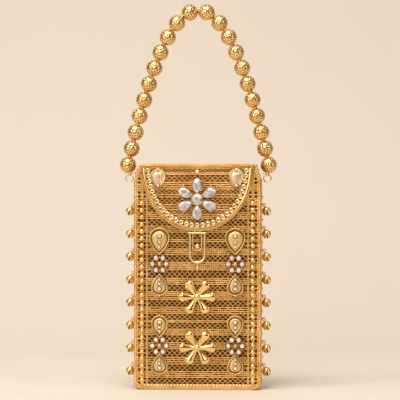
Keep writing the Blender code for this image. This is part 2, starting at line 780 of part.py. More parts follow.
def build_corner_drop(side, name):
    """A polished drop on an upper corner of the apron."""
    outline = drop_outline(side * CORNER_DROP_X, CORNER_DROP_Z, CORNER_DROP_W, CORNER_DROP_H, False,
                           steps=14)
    body = plate(outline, TRIM_BACK_Y, ORNAMENT_T)
    pivot = Vector((0.0, HINGE_Y, HINGE_Z))
    return finish(body, name, "gold_pale", pivot)


def pear_crystal(angle):
    """A faceted pear stone that points at the flower's centre."""
    shell = bmesh.new()
    outline = drop_outline(0.0, 0.0, CRYSTAL_W, CRYSTAL_L, False, steps=7)
    base = [shell.verts.new((x, 0.0, z)) for x, z in outline]
    table = [shell.verts.new((x * 0.5, -CRYSTAL_H, z * 0.5 + CRYSTAL_L * 0.08)) for x, z in outline]
    for i in range(len(outline)):
        j = (i + 1) % len(outline)
        shell.faces.new((base[i], base[j], table[j], table[i]))
    shell.faces.new(table)
    shell.faces.new(list(reversed(base)))
    bmesh.ops.recalc_face_normals(shell, faces=shell.faces)
    mesh = bpy.data.meshes.new("crystal")
    shell.to_mesh(mesh)
    shell.free()
    turn = Matrix.Rotation(math.radians(90.0 - angle), 4, "Y")
    out = Matrix.Translation((0.0, 0.0, CRYSTAL_RING_R))
    mesh.transform(Matrix.Translation((0.0, TRIM_BACK_Y - RIM_T, CRYSTAL_Z)) @ turn @ out)
    return link_object("crystal", mesh)


def build_crystal_flower():
    """Six pear crystals about a round one, on a small setting."""
    body = plate(circle(0.0, CRYSTAL_Z, CRYSTAL_RING_R * 0.92), TRIM_BACK_Y, RIM_T + GAP)
    face = TRIM_BACK_Y - RIM_T
    centre = cone((0.0, face, CRYSTAL_Z), (0.0, face - CRYSTAL_H, CRYSTAL_Z), CRYSTAL_CENTRE_R,
                  CRYSTAL_CENTRE_R * 0.55, sides=8)
    body = combine(body, [pear_crystal(angle) for angle in CRYSTAL_ANGLES] + [centre])
    pivot = Vector((0.0, HINGE_Y, HINGE_Z))
    return finish(body, "crystal_flower", "crystal", pivot, smooth=False)


def u_points(half_width, bottom, top):
    """A U in the plane of the clasp, from top right round to top left."""
    points = [(half_width, HASP_PIVOT_Y, top)]
    for i in range(HASP_STEPS + 1):
        angle = math.pi * i / HASP_STEPS
        points.append((half_width * math.cos(angle), HASP_PIVOT_Y,
                       bottom + half_width * (1.0 - math.sin(angle))))
    points.append((-half_width, HASP_PIVOT_Y, top))
    return points


def build_hasp_loop():
    """The swinging clasp: two U wires on one bar, with a drop at the bottom."""
    outer = wire(u_points(HASP_HALF_W, HASP_BOTTOM_Z, HASP_PIVOT_Z), HASP_WIRE_R)
    inner = wire(u_points(HASP_INNER_HALF_W, HASP_INNER_BOTTOM_Z, HASP_PIVOT_Z), HASP_INNER_R)
    reach = HASP_HALF_W + HASP_WIRE_R
    bar = cone((-reach, HASP_PIVOT_Y, HASP_PIVOT_Z), (reach, HASP_PIVOT_Y, HASP_PIVOT_Z), HASP_WIRE_R,
               HASP_WIRE_R, sides=8)
    profile = [(HASP_WIRE_R * width, -HASP_DROP_H * depth) for width, depth in HASP_DROP_SHAPE]
    drop_top = (0.0, HASP_PIVOT_Y, HASP_BOTTOM_Z + HASP_WIRE_R * 0.5)
    drop = aim(turned(profile, SLEEVE_SIDES), drop_top, (0.0, 0.0, 1.0))
    loop = combine(outer, [drop])
    loop = combine(loop, [bar])
    loop = combine(loop, [inner])
    return finish(loop, "hasp_loop", "gold_polished", Vector((0.0, HASP_PIVOT_Y, HASP_PIVOT_Z)))


def arch_height(x):
    """Height of the handle's line above the lid at a distance from the middle."""
    return ARCH_RISE * (1.0 - (abs(x) / ARCH_HALF_W) ** ARCH_POWER)


def bead_places():
    """Centres of the handle's balls on the right, walked from the top at an equal pitch."""
    x = BEAD_PITCH / 2
    places = [Vector((x, 0.0, BODY_H + arch_height(x)))]
    while True:
        last = places[-1]
        near, far = last.x, last.x + BEAD_PITCH
        for _ in range(50):
            middle = (near + far) / 2
            point = Vector((middle, 0.0, BODY_H + arch_height(middle)))
            if (point - last).length < BEAD_PITCH:
                near = middle
            else:
                far = middle
        if point.z < BODY_H - LAST_BEAD_SINK:
            return places
        places.append(point)


def bead_frames():
    """Centre and bore direction of every ball, from left to right."""
    right = bead_places()
    centres = [Vector((-p.x, 0.0, p.z)) for p in reversed(right)] + right
    route = [loop_top(-1)] + centres + [loop_top(1)]
    frames = []
    for before, centre, after in zip(route, route[1:], route[2:]):
        axis = (centre - before).normalized() + (after - centre).normalized()
        frames.append((centre, axis.normalized()))
    return frames


def loop_place(side):
    """Centre of the end loop of the handle's wire."""
    return Vector((side * (RING_X + LOOP_OFFSET), 0.0, PIVOT_Z))


def loop_top(side):
    """Where the handle's wire leaves its end loop."""
    return loop_place(side) + Vector((0.0, 0.0, EYE_R - EYE_WIRE_R * 0.2))


def bead_profile():
    """Half the section of a round ball with a bore, from top to bottom."""
    start = math.asin(BEAD_BORE_R / BEAD_R)
    profile = []
    for i in range(BEAD_ARCS + 1):
        angle = start + (math.pi - 2.0 * start) * i / BEAD_ARCS
        profile.append((BEAD_R * math.sin(angle), BEAD_R * math.cos(angle)))
    return profile


def build_handle():
    """The wire, and the balls strung on it."""
    pivot = Vector((0.0, 0.0, PIVOT_Z))
    frames = bead_frames()
    inside = BEAD_R * 0.8
    route = [loop_top(-1)]
    for centre, axis in frames:
        bends = abs(axis.z) < BEND_AXIS_Z
        route += [centre - axis * inside, centre + axis * inside] if bends else [centre]
    route.append(loop_top(1))
    cord = wire(route, HANDLE_WIRE_R)
    loops = [ring(loop_place(side), (1.0, 0.0, 0.0), EYE_R, EYE_WIRE_R, steps=8, sides=4)
             for side in (-1, 1)]
    finish(combine(cord, loops), "handle_wire", "gold_polished", pivot)
    for i, (centre, axis) in enumerate(frames):
        bead = aim(turned(bead_profile(), BEAD_SIDES, closed=True), centre, axis)
        finish(bead, f"bead_{i + 1:02d}", "gold_hammered", pivot)


def build_ring(side, name):
    """A loose ring between a lug and the handle."""
    centre = (side * RING_X, 0.0, PIVOT_Z - RING_R)
    item = ring(centre, (0.0, 1.0, 0.0), RING_R, RING_WIRE_R, steps=12, sides=4)
    return finish(item, name, "gold_polished", Vector((side * RING_X, 0.0, PIVOT_Z)))


def build_bell(side, index, name):
    """A round bell that hangs by its loop from a staple."""
    pivot = side_place(side, index)
    centre = pivot + Vector((side * BELL_REACH, 0.0, -BELL_DROP))
    axis = (pivot - centre).normalized()
    neck_z = (pivot - centre).length - BELL_LOOP_R + BELL_LOOP_WIRE_R * 0.5
    profile = [(0.0, neck_z), (BELL_NECK_R * 0.5, neck_z)]
    for degrees in (52.0, 118.0):
        angle = math.radians(degrees)
        profile.append((BELL_R * math.sin(angle), BELL_R * math.cos(angle)))
    profile.append((0.0, -BELL_R))
    body = aim(turned(profile, 5), centre, axis)
    loop = ring(pivot, (0.0, 1.0, 0.0), BELL_LOOP_R, BELL_LOOP_WIRE_R, steps=5, sides=3)
    return finish(combine(body, [loop]), name, "gold_polished", pivot)


def build_all():
    """Build every piece."""
    build_front_panel()
    build_back_panel()
    build_side_band()
    build_bead_column(-1, "bead_column_left")
    build_bead_column(1, "bead_column_right")
    build_ornament("ornament_upper_left", -ORNAMENT_X, UPPER_ORNAMENT_Z, *UPPER_DROPS)
    build_ornament("ornament_upper_right", ORNAMENT_X, UPPER_ORNAMENT_Z, *UPPER_DROPS)
    build_ornament("ornament_lower_left", -ORNAMENT_X, LOWER_ORNAMENT_Z, *LOWER_DROPS)
    build_ornament("ornament_lower_right", ORNAMENT_X, LOWER_ORNAMENT_Z, *LOWER_DROPS)
    build_gold_flower("gold_flower_upper", UPPER_FLOWER_Z)
    build_gold_flower("gold_flower_lower", LOWER_FLOWER_Z)
    build_ball_stud()
    build_hinge_pin()
    build_lid_shell()
    build_lid_rim()
    build_corner_drop(-1, "corner_drop_left")
    build_corner_drop(1, "corner_drop_right")
    build_crystal_flower()
    build_hasp_loop()
    build_handle()
    build_ring(-1, "ring_left")
    build_ring(1, "ring_right")
    for side, word in ((-1, "left"), (1, "right")):
        for i in range(BELLS_PER_SIDE):
            build_bell(side, i, f"bell_{word}_{i + 1}")


clear_scene()
PARTS = new_collection("phone_pouch")
MATERIALS = {name: make_material(name) for name in COLOURS}
build_all()
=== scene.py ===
# %% [markdown]
# # A metal phone pouch
# The object is a slim openwork box of gold-coloured metal with a flap, a clasp, bells down its sides and
# a handle of hammered balls. The solid model is loaded first and stays where it is. Every piece below is
# worked out from it, rides on one of its bodies, and adds the fine surface that the solids leave out.

# %% The frame
import json
import math

import bpy
import numpy as np
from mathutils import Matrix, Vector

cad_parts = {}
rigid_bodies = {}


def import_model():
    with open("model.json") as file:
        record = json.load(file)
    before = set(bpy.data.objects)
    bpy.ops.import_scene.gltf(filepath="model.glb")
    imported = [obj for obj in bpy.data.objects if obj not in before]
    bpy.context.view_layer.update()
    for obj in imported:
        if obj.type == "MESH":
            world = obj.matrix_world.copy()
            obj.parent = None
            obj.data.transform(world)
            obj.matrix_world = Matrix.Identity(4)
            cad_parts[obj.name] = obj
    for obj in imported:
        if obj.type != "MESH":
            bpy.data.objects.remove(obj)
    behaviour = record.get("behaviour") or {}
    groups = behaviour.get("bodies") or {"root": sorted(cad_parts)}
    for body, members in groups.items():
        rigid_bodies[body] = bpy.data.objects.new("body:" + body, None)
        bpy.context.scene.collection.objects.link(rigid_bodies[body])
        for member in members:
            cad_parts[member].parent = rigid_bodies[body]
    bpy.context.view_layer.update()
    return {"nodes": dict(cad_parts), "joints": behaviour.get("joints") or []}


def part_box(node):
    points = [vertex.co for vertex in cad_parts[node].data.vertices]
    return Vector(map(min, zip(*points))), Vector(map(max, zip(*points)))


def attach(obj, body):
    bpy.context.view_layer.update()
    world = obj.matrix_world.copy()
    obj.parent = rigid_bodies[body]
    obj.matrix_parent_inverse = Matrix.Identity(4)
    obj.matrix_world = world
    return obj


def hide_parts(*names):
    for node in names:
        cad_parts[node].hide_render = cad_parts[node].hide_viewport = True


for leftover in list(bpy.data.objects):
    bpy.data.objects.remove(leftover, do_unlink=True)

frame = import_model()
MM = 0.001

# %% [markdown]
# ## Camera
# The photograph is taken from a long way off, a little to the right of the front and just above the
# middle. A long lens keeps the box's edges parallel. The frame is as wide as 318 mm at the pouch, which
# gives the focal length from the distance.

# %% Camera
PHOTO_SPAN = 318.0 * MM
AIM_POINT = np.array([1.35, 0.0, 149.9]) * MM
CAMERA_YAW = math.radians(3.2)
CAMERA_RISE = math.radians(1.5)
CAMERA_DISTANCE = 1.7

camera_data = bpy.data.cameras.new("camera")
camera = bpy.data.objects.new("camera", camera_data)
bpy.context.scene.collection.objects.link(camera)
away = np.array([math.sin(CAMERA_YAW) * math.cos(CAMERA_RISE),
                 -math.cos(CAMERA_YAW) * math.cos(CAMERA_RISE), math.sin(CAMERA_RISE)])
camera.location = AIM_POINT + CAMERA_DISTANCE * away
camera_data.sensor_width = 36.0
camera_data.lens = camera_data.sensor_width * CAMERA_DISTANCE / PHOTO_SPAN
camera.rotation_euler = (math.pi / 2 - CAMERA_RISE, 0.0, CAMERA_YAW)
bpy.context.scene.camera = camera
print("lens:", round(camera_data.lens, 1), "mm")

# %% [markdown]
# ## Shapes as arrays
# A shape here is three arrays: its points, its four-cornered faces and its three-cornered ones. Every
# maker below works on whole arrays. A closed shape's volume tells which way its faces point, so
# `outward` turns them all if that volume comes out negative.


# %% Joining and turning shapes
def volume_of(points, quads, tris):
    """Six times the enclosed volume: the sum of a . (b x c) over the triangles a, b, c."""
    corners = np.concatenate([quads[:, [0, 1, 2]], quads[:, [0, 2, 3]], tris])
    a, b, c = (points[corners[:, i]] for i in range(3))
    return np.einsum("ij,ij->", a, np.cross(b, c))


def outward(points, quads, tris):
    """The same closed shape with its faces pointing out."""
    quads = np.asarray(quads, int).reshape(-1, 4)
    tris = np.asarray(tris, int).reshape(-1, 3)
    centred = points - points.mean(axis=0)
    if volume_of(centred, quads, tris) < 0:
        quads, tris = quads[:, ::-1], tris[:, ::-1]
    return points, quads, tris


def merge(*shapes):
    """One shape from several: the faces of each are numbered on from those before it."""
    points, quads, tris, start = [], [], [], 0
    for p, q, t in shapes:
        points.append(p)
        quads.append(q + start)
        tris.append(t + start)
        start += len(p)
    return np.concatenate(points), np.concatenate(quads), np.concatenate(tris)


def repeat(base, centres, scales=1.0):
    """Copies of a shape: every point is scaled, then moved to each centre in turn."""
    points, quads, tris = base
    centres = np.asarray(centres, float).reshape(-1, 3)
    scales = np.broadcast_to(np.asarray(scales, float), len(centres))
    count = len(points)
    shift = (np.arange(len(centres)) * count)[:, None, None]
    copies = centres[:, None, :] + scales[:, None, None] * points[None]
    return (copies.reshape(-1, 3), (quads[None] + shift).reshape(-1, 4),
            (tris[None] + shift).reshape(-1, 3))


def turn_to(axis):
    """The rotation that takes +Z to an axis, from the axis and its cross products."""
    w = np.asarray(axis, float) / np.linalg.norm(axis)
    helper = np.array([1.0, 0.0, 0.0]) if abs(w[0]) < 0.9 else np.array([0.0, 1.0, 0.0])
    u = np.cross(helper, w)
    u /= np.linalg.norm(u)
    return np.stack([u, np.cross(w, u), w], axis=1)


def aimed(shape, centre, axis):
    """A shape made about +Z, turned to lie along an axis and moved to a centre."""
    points, quads, tris = shape
    return points @ turn_to(axis).T + np.asarray(centre, float), quads, tris


def moved(shape, x=0.0, y=0.0, z=0.0):
    """A shape moved along the three axes."""
    return shape[0] + np.array([x, y, z]), shape[1], shape[2]


def points_at(x, y, z):
    """Points from their coordinates, each of them an array or one number for all."""
    return np.stack(np.broadcast_arrays(x, y, z), axis=-1).astype(float)


# %% [markdown]
# ## Grids, sweeps and turned forms
# Wires, rails and plates are a section carried along a path. Balls, bells and cups are a profile turned
# about an axis. Both are a grid of points, so one function numbers the faces of all of them.


# %% Makers
def grid_quads(rows, columns, wrap_rows=False):
    """Faces of a grid whose columns close round, and whose rows may."""
    index = np.arange(rows * columns).reshape(rows, columns)
    here = index if wrap_rows else index[:-1]
    below = np.roll(index, -1, axis=0) if wrap_rows else index[1:]
    return np.stack([here, np.roll(here, -1, axis=1), np.roll(below, -1, axis=1), below],
                    axis=-1).reshape(-1, 4)


def fan(ring, hub):
    """Triangles from a ring of points to a hub point."""
    return np.stack([ring, np.roll(ring, -1), np.full_like(ring, hub)], axis=1)


def unit(vectors):
    """Vectors with length one."""
    return vectors / np.linalg.norm(vectors, axis=-1, keepdims=True)


def round_section(radius, sides):
    """A circle: (r cos a, r sin a)."""
    angle = np.linspace(0.0, 2.0 * np.pi, sides, endpoint=False)
    return radius * np.stack([np.cos(angle), np.sin(angle)], axis=1)


def flat_section(width, height, bevel):
    """A rectangle with its four corners cut by a bevel."""
    w, h, b = width / 2, height / 2, bevel
    return np.array([(w, -h + b), (w, h - b), (w - b, h), (b - w, h),
                     (-w, h - b), (-w, b - h), (b - w, -h), (w - b, -h)])


def sweep(path, section, across=(0.0, 1.0, 0.0), closed=False, scale=1.0):
    """A section carried along a path: point = path + scale (s side + t up), where side is square to
    the path and to `across`, and up is square to both."""
    path = np.asarray(path, float)
    if closed:
        tangent = unit(np.roll(path, -1, axis=0) - np.roll(path, 1, axis=0))
    else:
        tangent = unit(np.gradient(path, axis=0))
    side = unit(np.cross(tangent, np.asarray(across, float)))
    up = np.cross(side, tangent)
    scale = np.broadcast_to(np.asarray(scale, float), len(path))[:, None, None]
    offset = section[None, :, :1] * side[:, None] + section[None, :, 1:] * up[:, None]
    grid = path[:, None] + scale * offset
    rows, columns = len(path), len(section)
    quads = grid_quads(rows, columns, wrap_rows=closed)
    if closed:
        return outward(grid.reshape(-1, 3), quads, np.zeros((0, 3), int))
    first, last = np.arange(columns), np.arange(columns) + (rows - 1) * columns
    points = np.concatenate([grid.reshape(-1, 3), path[:1], path[-1:]])
    tris = np.concatenate([fan(first[::-1], rows * columns), fan(last, rows * columns + 1)])
    return outward(points, quads, tris)


def torus(centre, axis, radius, wire, steps=32, sides=10):
    """A closed ring of round wire about an axis."""
    angle = np.linspace(0.0, 2.0 * np.pi, steps, endpoint=False)
    path = radius * np.stack([np.cos(angle), np.sin(angle), np.zeros(steps)], axis=1)
    return aimed(sweep(path, round_section(wire, sides), (0.0, 0.0, 1.0), closed=True), centre, axis)


def turned(profile, sides):
    """A profile of (radius, height) turned about +Z: (r cos a, r sin a, h). It starts and ends on the
    axis, where one point closes it."""
    profile = np.asarray(profile, float)
    angle = np.linspace(0.0, 2.0 * np.pi, sides, endpoint=False)
    radius, height = profile[1:-1, 0][:, None], profile[1:-1, 1][:, None]
    grid = np.stack([radius * np.cos(angle), radius * np.sin(angle),
                     np.broadcast_to(height, (len(height), sides))], axis=-1)
    rows = len(height)
    first, last = np.arange(sides), np.arange(sides) + (rows - 1) * sides
    ends = np.array([[0.0, 0.0, profile[0, 1]], [0.0, 0.0, profile[-1, 1]]])
    points = np.concatenate([grid.reshape(-1, 3), ends])
    tris = np.concatenate([fan(first[::-1], rows * sides), fan(last, rows * sides + 1)])
    return outward(points, grid_quads(rows, sides), tris)


def arc_profile(radius, rows, start=0.0, stop=180.0):
    """The half circle (R sin a, R cos a) between two angles from the top."""
    angle = np.radians(np.linspace(start, stop, rows))
    return np.stack([radius * np.sin(angle), radius * np.cos(angle)], axis=1)


def bars(starts, ends, radius, across=(0.0, 1.0, 0.0), sides=6, steps=1, bow=0.0):
    """Many wires at once, each from its start to its end. A bow lifts its middle by bow sin(pi t)
    along `across`, so that crossing wires pass over each other."""
    starts, ends = np.asarray(starts, float), np.asarray(ends, float)
    across = np.asarray(across, float)
    t = np.linspace(0.0, 1.0, steps + 1)
    bow = np.broadcast_to(np.asarray(bow, float), len(starts))
    line = starts[:, None] + (ends - starts)[:, None] * t[:, None]
    line = line + (bow[:, None] * np.sin(np.pi * t))[:, :, None] * across
    along = unit(ends - starts)
    side = unit(np.cross(along, across))
    up = np.cross(side, along)
    section = round_section(radius, sides)
    ring = section[:, 0, None] * side[:, None] + section[:, 1, None] * up[:, None]
    points = line[:, :, None] + ring[:, None]
    one = (steps + 1) * sides
    shift = (np.arange(len(starts)) * one)[:, None, None]
    first, last = np.arange(sides), np.arange(sides) + steps * sides
    caps = np.concatenate([np.stack([np.full(sides - 2, first[0]), first[2:], first[1:-1]], axis=1),
                           np.stack([np.full(sides - 2, last[0]), last[1:-1], last[2:]], axis=1)])
    quads = (grid_quads(steps + 1, sides)[:, ::-1][None] + shift).reshape(-1, 4)
    return outward(points.reshape(-1, 3), quads, (caps[None] + shift).reshape(-1, 3))


def even(path, count):
    """A path resampled to points an equal way apart along it."""
    path = np.asarray(path, float)
    gone = np.concatenate([[0.0], np.cumsum(np.linalg.norm(np.diff(path, axis=0), axis=1))])
    want = np.linspace(0.0, gone[-1], count)
    return np.stack([np.interp(want, gone, path[:, i]) for i in range(path.shape[1])], axis=1)


def length_of(path):
    """The length of a path."""
    return np.linalg.norm(np.diff(path, axis=0), axis=1).sum()


# %% [markdown]
# ## Metals
# The photograph shows one gold colour in several finishes: drawn wire, a smooth polish, a hammered
# polish, a duller sheet and a cream-coloured plating. The settings, the side strip and the sheets behind
# the openwork are coloured darker as painted shade. Each is a metal whose colour and roughness vary a
# little with a noise pattern, as hand-finished plating does. Fine bump gives the drawing marks and the grain.


# %% Metal finishes
CLOUD_SCALE = 70.0
BUMP_HEIGHT = 0.1 * MM
# Painted shade: the dark brown that hollows such as the handle's dents are coloured towards.
PAINTED_PIT_SHADE = (0.10, 0.04, 0.008, 1.0)


def feed(owner, node, inputs):
    """Give each named input of a node a value, or the output of another node."""
    for name, value in inputs.items():
        if isinstance(value, bpy.types.NodeSocket):
            owner.node_tree.links.new(value, node.inputs[name])
        else:
            node.inputs[name].default_value = value


def add_node(owner, kind, inputs=None, **settings):
    """A node of a material or world, with its settings and its inputs."""
    node = owner.node_tree.nodes.new(kind)
    for name, value in settings.items():
        setattr(node, name, value)
    feed(owner, node, inputs or {})
    return node


def ramp(owner, value, *stops):
    """The colour that belongs to a value, between stops of (place, colour)."""
    node = add_node(owner, "ShaderNodeValToRGB", {"Fac": value})
    marks = node.color_ramp.elements
    while len(marks) < len(stops):
        marks.new(0.5)
    for mark, (place, colour) in zip(marks, stops):
        mark.position = place
        mark.color = (*colour, 1.0)
    return node.outputs["Color"]


def mixed(owner, share, first, second):
    """A colour that goes from the first to the second by a share."""
    return add_node(owner, "ShaderNodeMix", {0: share, 6: first, 7: second}, data_type="RGBA").outputs[2]


def metal(name, colour, tint, roughness, spread, grain, bump, metallic=1.0):
    """A metal: its colour runs between tint and colour, its roughness over a spread, and a finer noise
    gives its grain. It darkens by a point attribute of the mesh, a painted shade for hollows."""
    material = bpy.data.materials.new(name)
    material.use_nodes = True
    place = add_node(material, "ShaderNodeTexCoord").outputs["Object"]
    clouds = add_node(material, "ShaderNodeTexNoise", {"Vector": place, "Scale": CLOUD_SCALE, "Detail": 3.0})
    colours = ramp(material, clouds.outputs["Fac"], (0.32, tint), (0.68, colour))
    painted_shade = add_node(material, "ShaderNodeAttribute", attribute_name="painted_shade").outputs["Fac"]
    fine = add_node(material, "ShaderNodeTexNoise", {"Vector": place, "Scale": grain, "Detail": 4.0})
    fine = fine.outputs["Fac"]
    rough = add_node(material, "ShaderNodeMapRange",
                     {"Value": fine, "To Min": roughness, "To Max": roughness + spread})
    relief = add_node(material, "ShaderNodeBump", {"Height": fine, "Strength": bump, "Distance": BUMP_HEIGHT})
    feed(material, material.node_tree.nodes["Principled BSDF"], {
        "Metallic": metallic, "Base Color": mixed(material, painted_shade, colours, PAINTED_PIT_SHADE),
        "Roughness": rough.outputs["Result"], "Normal": relief.outputs["Normal"]})
    return material


GOLD_WIRE = metal("drawn_gold_wire", (0.97, 0.63, 0.25), (0.76, 0.43, 0.12), 0.22, 0.16, 1800.0, 0.25)
GOLD_POLISHED = metal("polished_gold", (0.96, 0.70, 0.33), (0.89, 0.59, 0.22), 0.10, 0.08, 900.0, 0.08)
GOLD_HAMMERED = metal("hammered_gold", (0.92, 0.65, 0.30), (0.82, 0.52, 0.20), 0.09, 0.10, 700.0, 0.12)
GOLD_PALE = metal("pale_gold_sheet", (0.92, 0.66, 0.30), (0.84, 0.56, 0.21), 0.30, 0.16, 1500.0, 0.3)
GOLD_CREAM = metal("cream_gold", (0.98, 0.82, 0.52), (0.94, 0.73, 0.40), 0.26, 0.12, 900.0, 0.08)
# Painted shade: a darker copy of the gold for the side strip, whose inside gets little light.
GOLD_PAINTED_SHADE = metal("gold_wall_painted_shade", (0.70, 0.42, 0.15), (0.54, 0.30, 0.09), 0.32, 0.2, 1200.0, 0.35)
# Painted shade: dark sheets behind the openwork stand for the shadowed inside, the flap's lighter where more
# light gets in. The darker one also colours the bells' slit lines.
DARK_PAINTED_SHADE = metal("dark_painted_shade", (0.19, 0.060, 0.008), (0.10, 0.030, 0.004), 0.6, 0.2, 900.0, 0.2, 0.35)
FLAP_PAINTED_SHADE = metal("flap_painted_shade", (0.34, 0.12, 0.016), (0.22, 0.07, 0.009), 0.6, 0.2, 900.0, 0.2, 0.35)
# Painted shade: a dark gold for bezels and groove floors, for the shade round the stones and in the grooves.
SETTING_PAINTED_SHADE = metal("setting_painted_shade", (0.30, 0.16, 0.05), (0.20, 0.10, 0.03), 0.35, 0.2, 900.0, 0.2)

# %% [markdown]
# ## Crystals
# The stones are backed with foil, so light comes back out of them. A metal-like mirror in a cold grey,
# cut into real facets, gives the same flashes without tracing light through glass. A noise varies the
# grey from facet to facet, as painted flashes and dark reflections.


# %% Crystal finish
def crystal(name, bright, dark, scale, mirror):
    """Foil-backed crystal: a polished mirror whose grey steps between two values from cell to cell, painted
    bright and dark reflections.
    """
    material = bpy.data.materials.new(name)
    material.use_nodes = True
    place = add_node(material, "ShaderNodeTexCoord").outputs["Object"]
    cells = add_node(material, "ShaderNodeTexVoronoi", {"Vector": place, "Scale": scale})
    feed(material, material.node_tree.nodes["Principled BSDF"], {
        "Metallic": mirror, "Roughness": 0.07, "Coat Weight": 0.6,
        "Base Color": ramp(material, cells.outputs["Color"], (0.0, dark), (1.0, bright))})
    return material


CRYSTAL_CLEAR = crystal("clear_crystal", (1.0, 0.99, 1.0), (0.34, 0.31, 0.36), 420.0, 0.3)
CRYSTAL_SMALL = crystal("small_crystal", (1.0, 0.99, 0.98), (0.66, 0.62, 0.62), 900.0, 0.25)
# Painted shade: a darker crystal for the dark middles of the flap's cups.
CRYSTAL_PAINTED_SHADE = crystal("painted_shade_crystal", (0.60, 0.50, 0.40), (0.20, 0.14, 0.09), 700.0, 0.7)


# %% Adding a piece
def add_piece(name, shape, material, body, replaces=(), sharp=38.0, painted_shade=None):
    """Put a shape into the scene as an object at the origin, on its body. The metals darken by the
    value given for each point, a painted shade for hollows."""
    points, quads, tris = shape
    mesh = bpy.data.meshes.new(name)
    mesh.vertices.add(len(points))
    mesh.vertices.foreach_set("co", points.astype(np.float32).ravel())
    corners = np.concatenate([quads.ravel(), tris.ravel()]).astype(np.int32)
    starts = np.concatenate([np.arange(len(quads)) * 4, len(quads) * 4 + np.arange(len(tris)) * 3])
    mesh.loops.add(len(corners))
    mesh.loops.foreach_set("vertex_index", corners)
    mesh.polygons.add(len(starts))
    mesh.polygons.foreach_set("loop_start", starts.astype(np.int32))
    mesh.update(calc_edges=True)
    if painted_shade is not None:
        mesh.attributes.new("painted_shade", "FLOAT", "POINT").data.foreach_set("value", painted_shade.astype(np.float32))
    if sharp:
        mesh.shade_smooth()
        mesh.set_sharp_from_angle(angle=math.radians(sharp))
    else:
        mesh.shade_flat()
    mesh.materials.append(material)
    piece = bpy.data.objects.new(name, mesh)
    bpy.context.scene.collection.objects.link(piece)
    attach(piece, body)
    if replaces:
        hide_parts(*replaces)
    triangles[name] = 2 * len(quads) + len(tris)
    return piece


triangles = {}

# %% [markdown]
# ## Sizes taken from the solids
# The walls, the flap's front and the layers that lie on them are read from the frame. The clearances
# between layers are those of the solid model.

# %% Sizes
SIDES = (("left", -1), ("right", 1))
GAP = 0.3 * MM
front_low, front_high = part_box("front_panel")
back_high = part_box("back_panel")[1]
HALF_W = front_high.x
TOP_Z = back_high.z
BACK_Y = back_high.y
FRONT_Y = -BACK_Y
PANEL_T = 1.2 * MM
SHEET_Y = FRONT_Y + PANEL_T / 2
PLATE_Y = front_low.y - GAP
LID_HALF_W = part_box("lid_shell")[1].x
APRON_DROP = 52.9 * MM
APRON_POWER = 2.1
APRON_BACK_Y = FRONT_Y - GAP
APRON_FRONT_Y = APRON_BACK_Y - PANEL_T
TRIM_Y = APRON_FRONT_Y - GAP


def joint_at(name):
    """The place of one of the frame's joints."""
    return next(joint for joint in frame["joints"] if joint["name"] == name)["pos_m"]


print("half width", round(HALF_W / MM, 2), "top", round(TOP_Z / MM, 2), "apron front",
      round(APRON_FRONT_Y / MM, 2))

# %% [markdown]
# ## Lattice bands
# The front is made of bands. In each, zigzag wires cross into a row of small diamonds, and short posts
# join their tips to the rails above and below. That leaves a heart-shaped hole over and under every
# crossing. Between the bands lie straight rails with rows of thin slots. A band is many short wires, so
# all of them are made in one array.

# %% Bands and rails
CELL = 4.05 * MM
WIRE_R = 0.44 * MM
WEAVE = 0.22 * MM
DIAMOND_SHARE = 0.31
NUB_R = 1.25 * WIRE_R
RAIL_R = 0.46 * MM
RAIL_PITCH = 1.62 * MM
RUNG_R = 0.45 * MM
RUNG_PITCH = 1.6 * MM
RUNG_SHARE = 0.7
RUNG_SHIFT = 0.3 * MM
RUNG_BACK = 0.15 * MM
MILL_PITCH = 1.5 * MM
MILL_DEPTH = 0.16
MILL_SAMPLES = 5
chance = np.random.default_rng(7)


def milled(start, end, radius):
    """A wire with rolled beads: its radius swells by a share of itself, r (1 + d cos(2 pi s / p))."""
    start, end = np.asarray(start, float), np.asarray(end, float)
    long = np.linalg.norm(end - start)
    count = max(int(long / MILL_PITCH * MILL_SAMPLES), 4)
    t = np.linspace(0.0, 1.0, count + 1)
    swell = 1.0 + MILL_DEPTH * np.cos(2 * np.pi * t * long / MILL_PITCH)
    return sweep(start + (end - start) * t[:, None], round_section(radius, 7), scale=swell)


def crossed(low, high, half_width, y):
    """One band. A wire falls from each diamond's top tip to the next one's bottom tip and another
    rises, one in front. Posts run from the tips to the edges, and a bead sits on each edge at every
    crossing."""
    count = max(int(2 * half_width / CELL + 0.35), 1)
    step = min(CELL, 2 * half_width / count)
    x = (np.arange(count + 1) - count / 2) * step
    middle, tip = (low + high) / 2, (high - low) * DIAMOND_SHARE
    starts = [points_at(x[:-1], y, middle + side * tip) for side in (1, -1)]
    ends = [points_at(x[1:], y, middle - side * tip) for side in (1, -1)]
    sign = np.tile([1.0, -1.0], count)[:count] * WEAVE
    wires = bars(np.concatenate(starts), np.concatenate(ends), WIRE_R, steps=4,
                 bow=np.concatenate([sign, -sign]))
    tips = [points_at(x, y, middle + side * tip * 0.9) for side in (1, -1)]
    rims = [points_at(x, y, z) for z in (high, low)]
    posts = bars(np.concatenate(tips), np.concatenate(rims), WIRE_R * 1.05)
    nubs = [points_at((x[:-1] + x[1:]) / 2, y, z) for z in (low, high)]
    return merge(wires, posts, repeat(ball(NUB_R, 6, 5), np.concatenate(nubs)))


def ball(radius, sides=12, rows=8):
    """A small ball: a half circle turned about +Z."""
    return turned(arc_profile(radius, rows), sides)


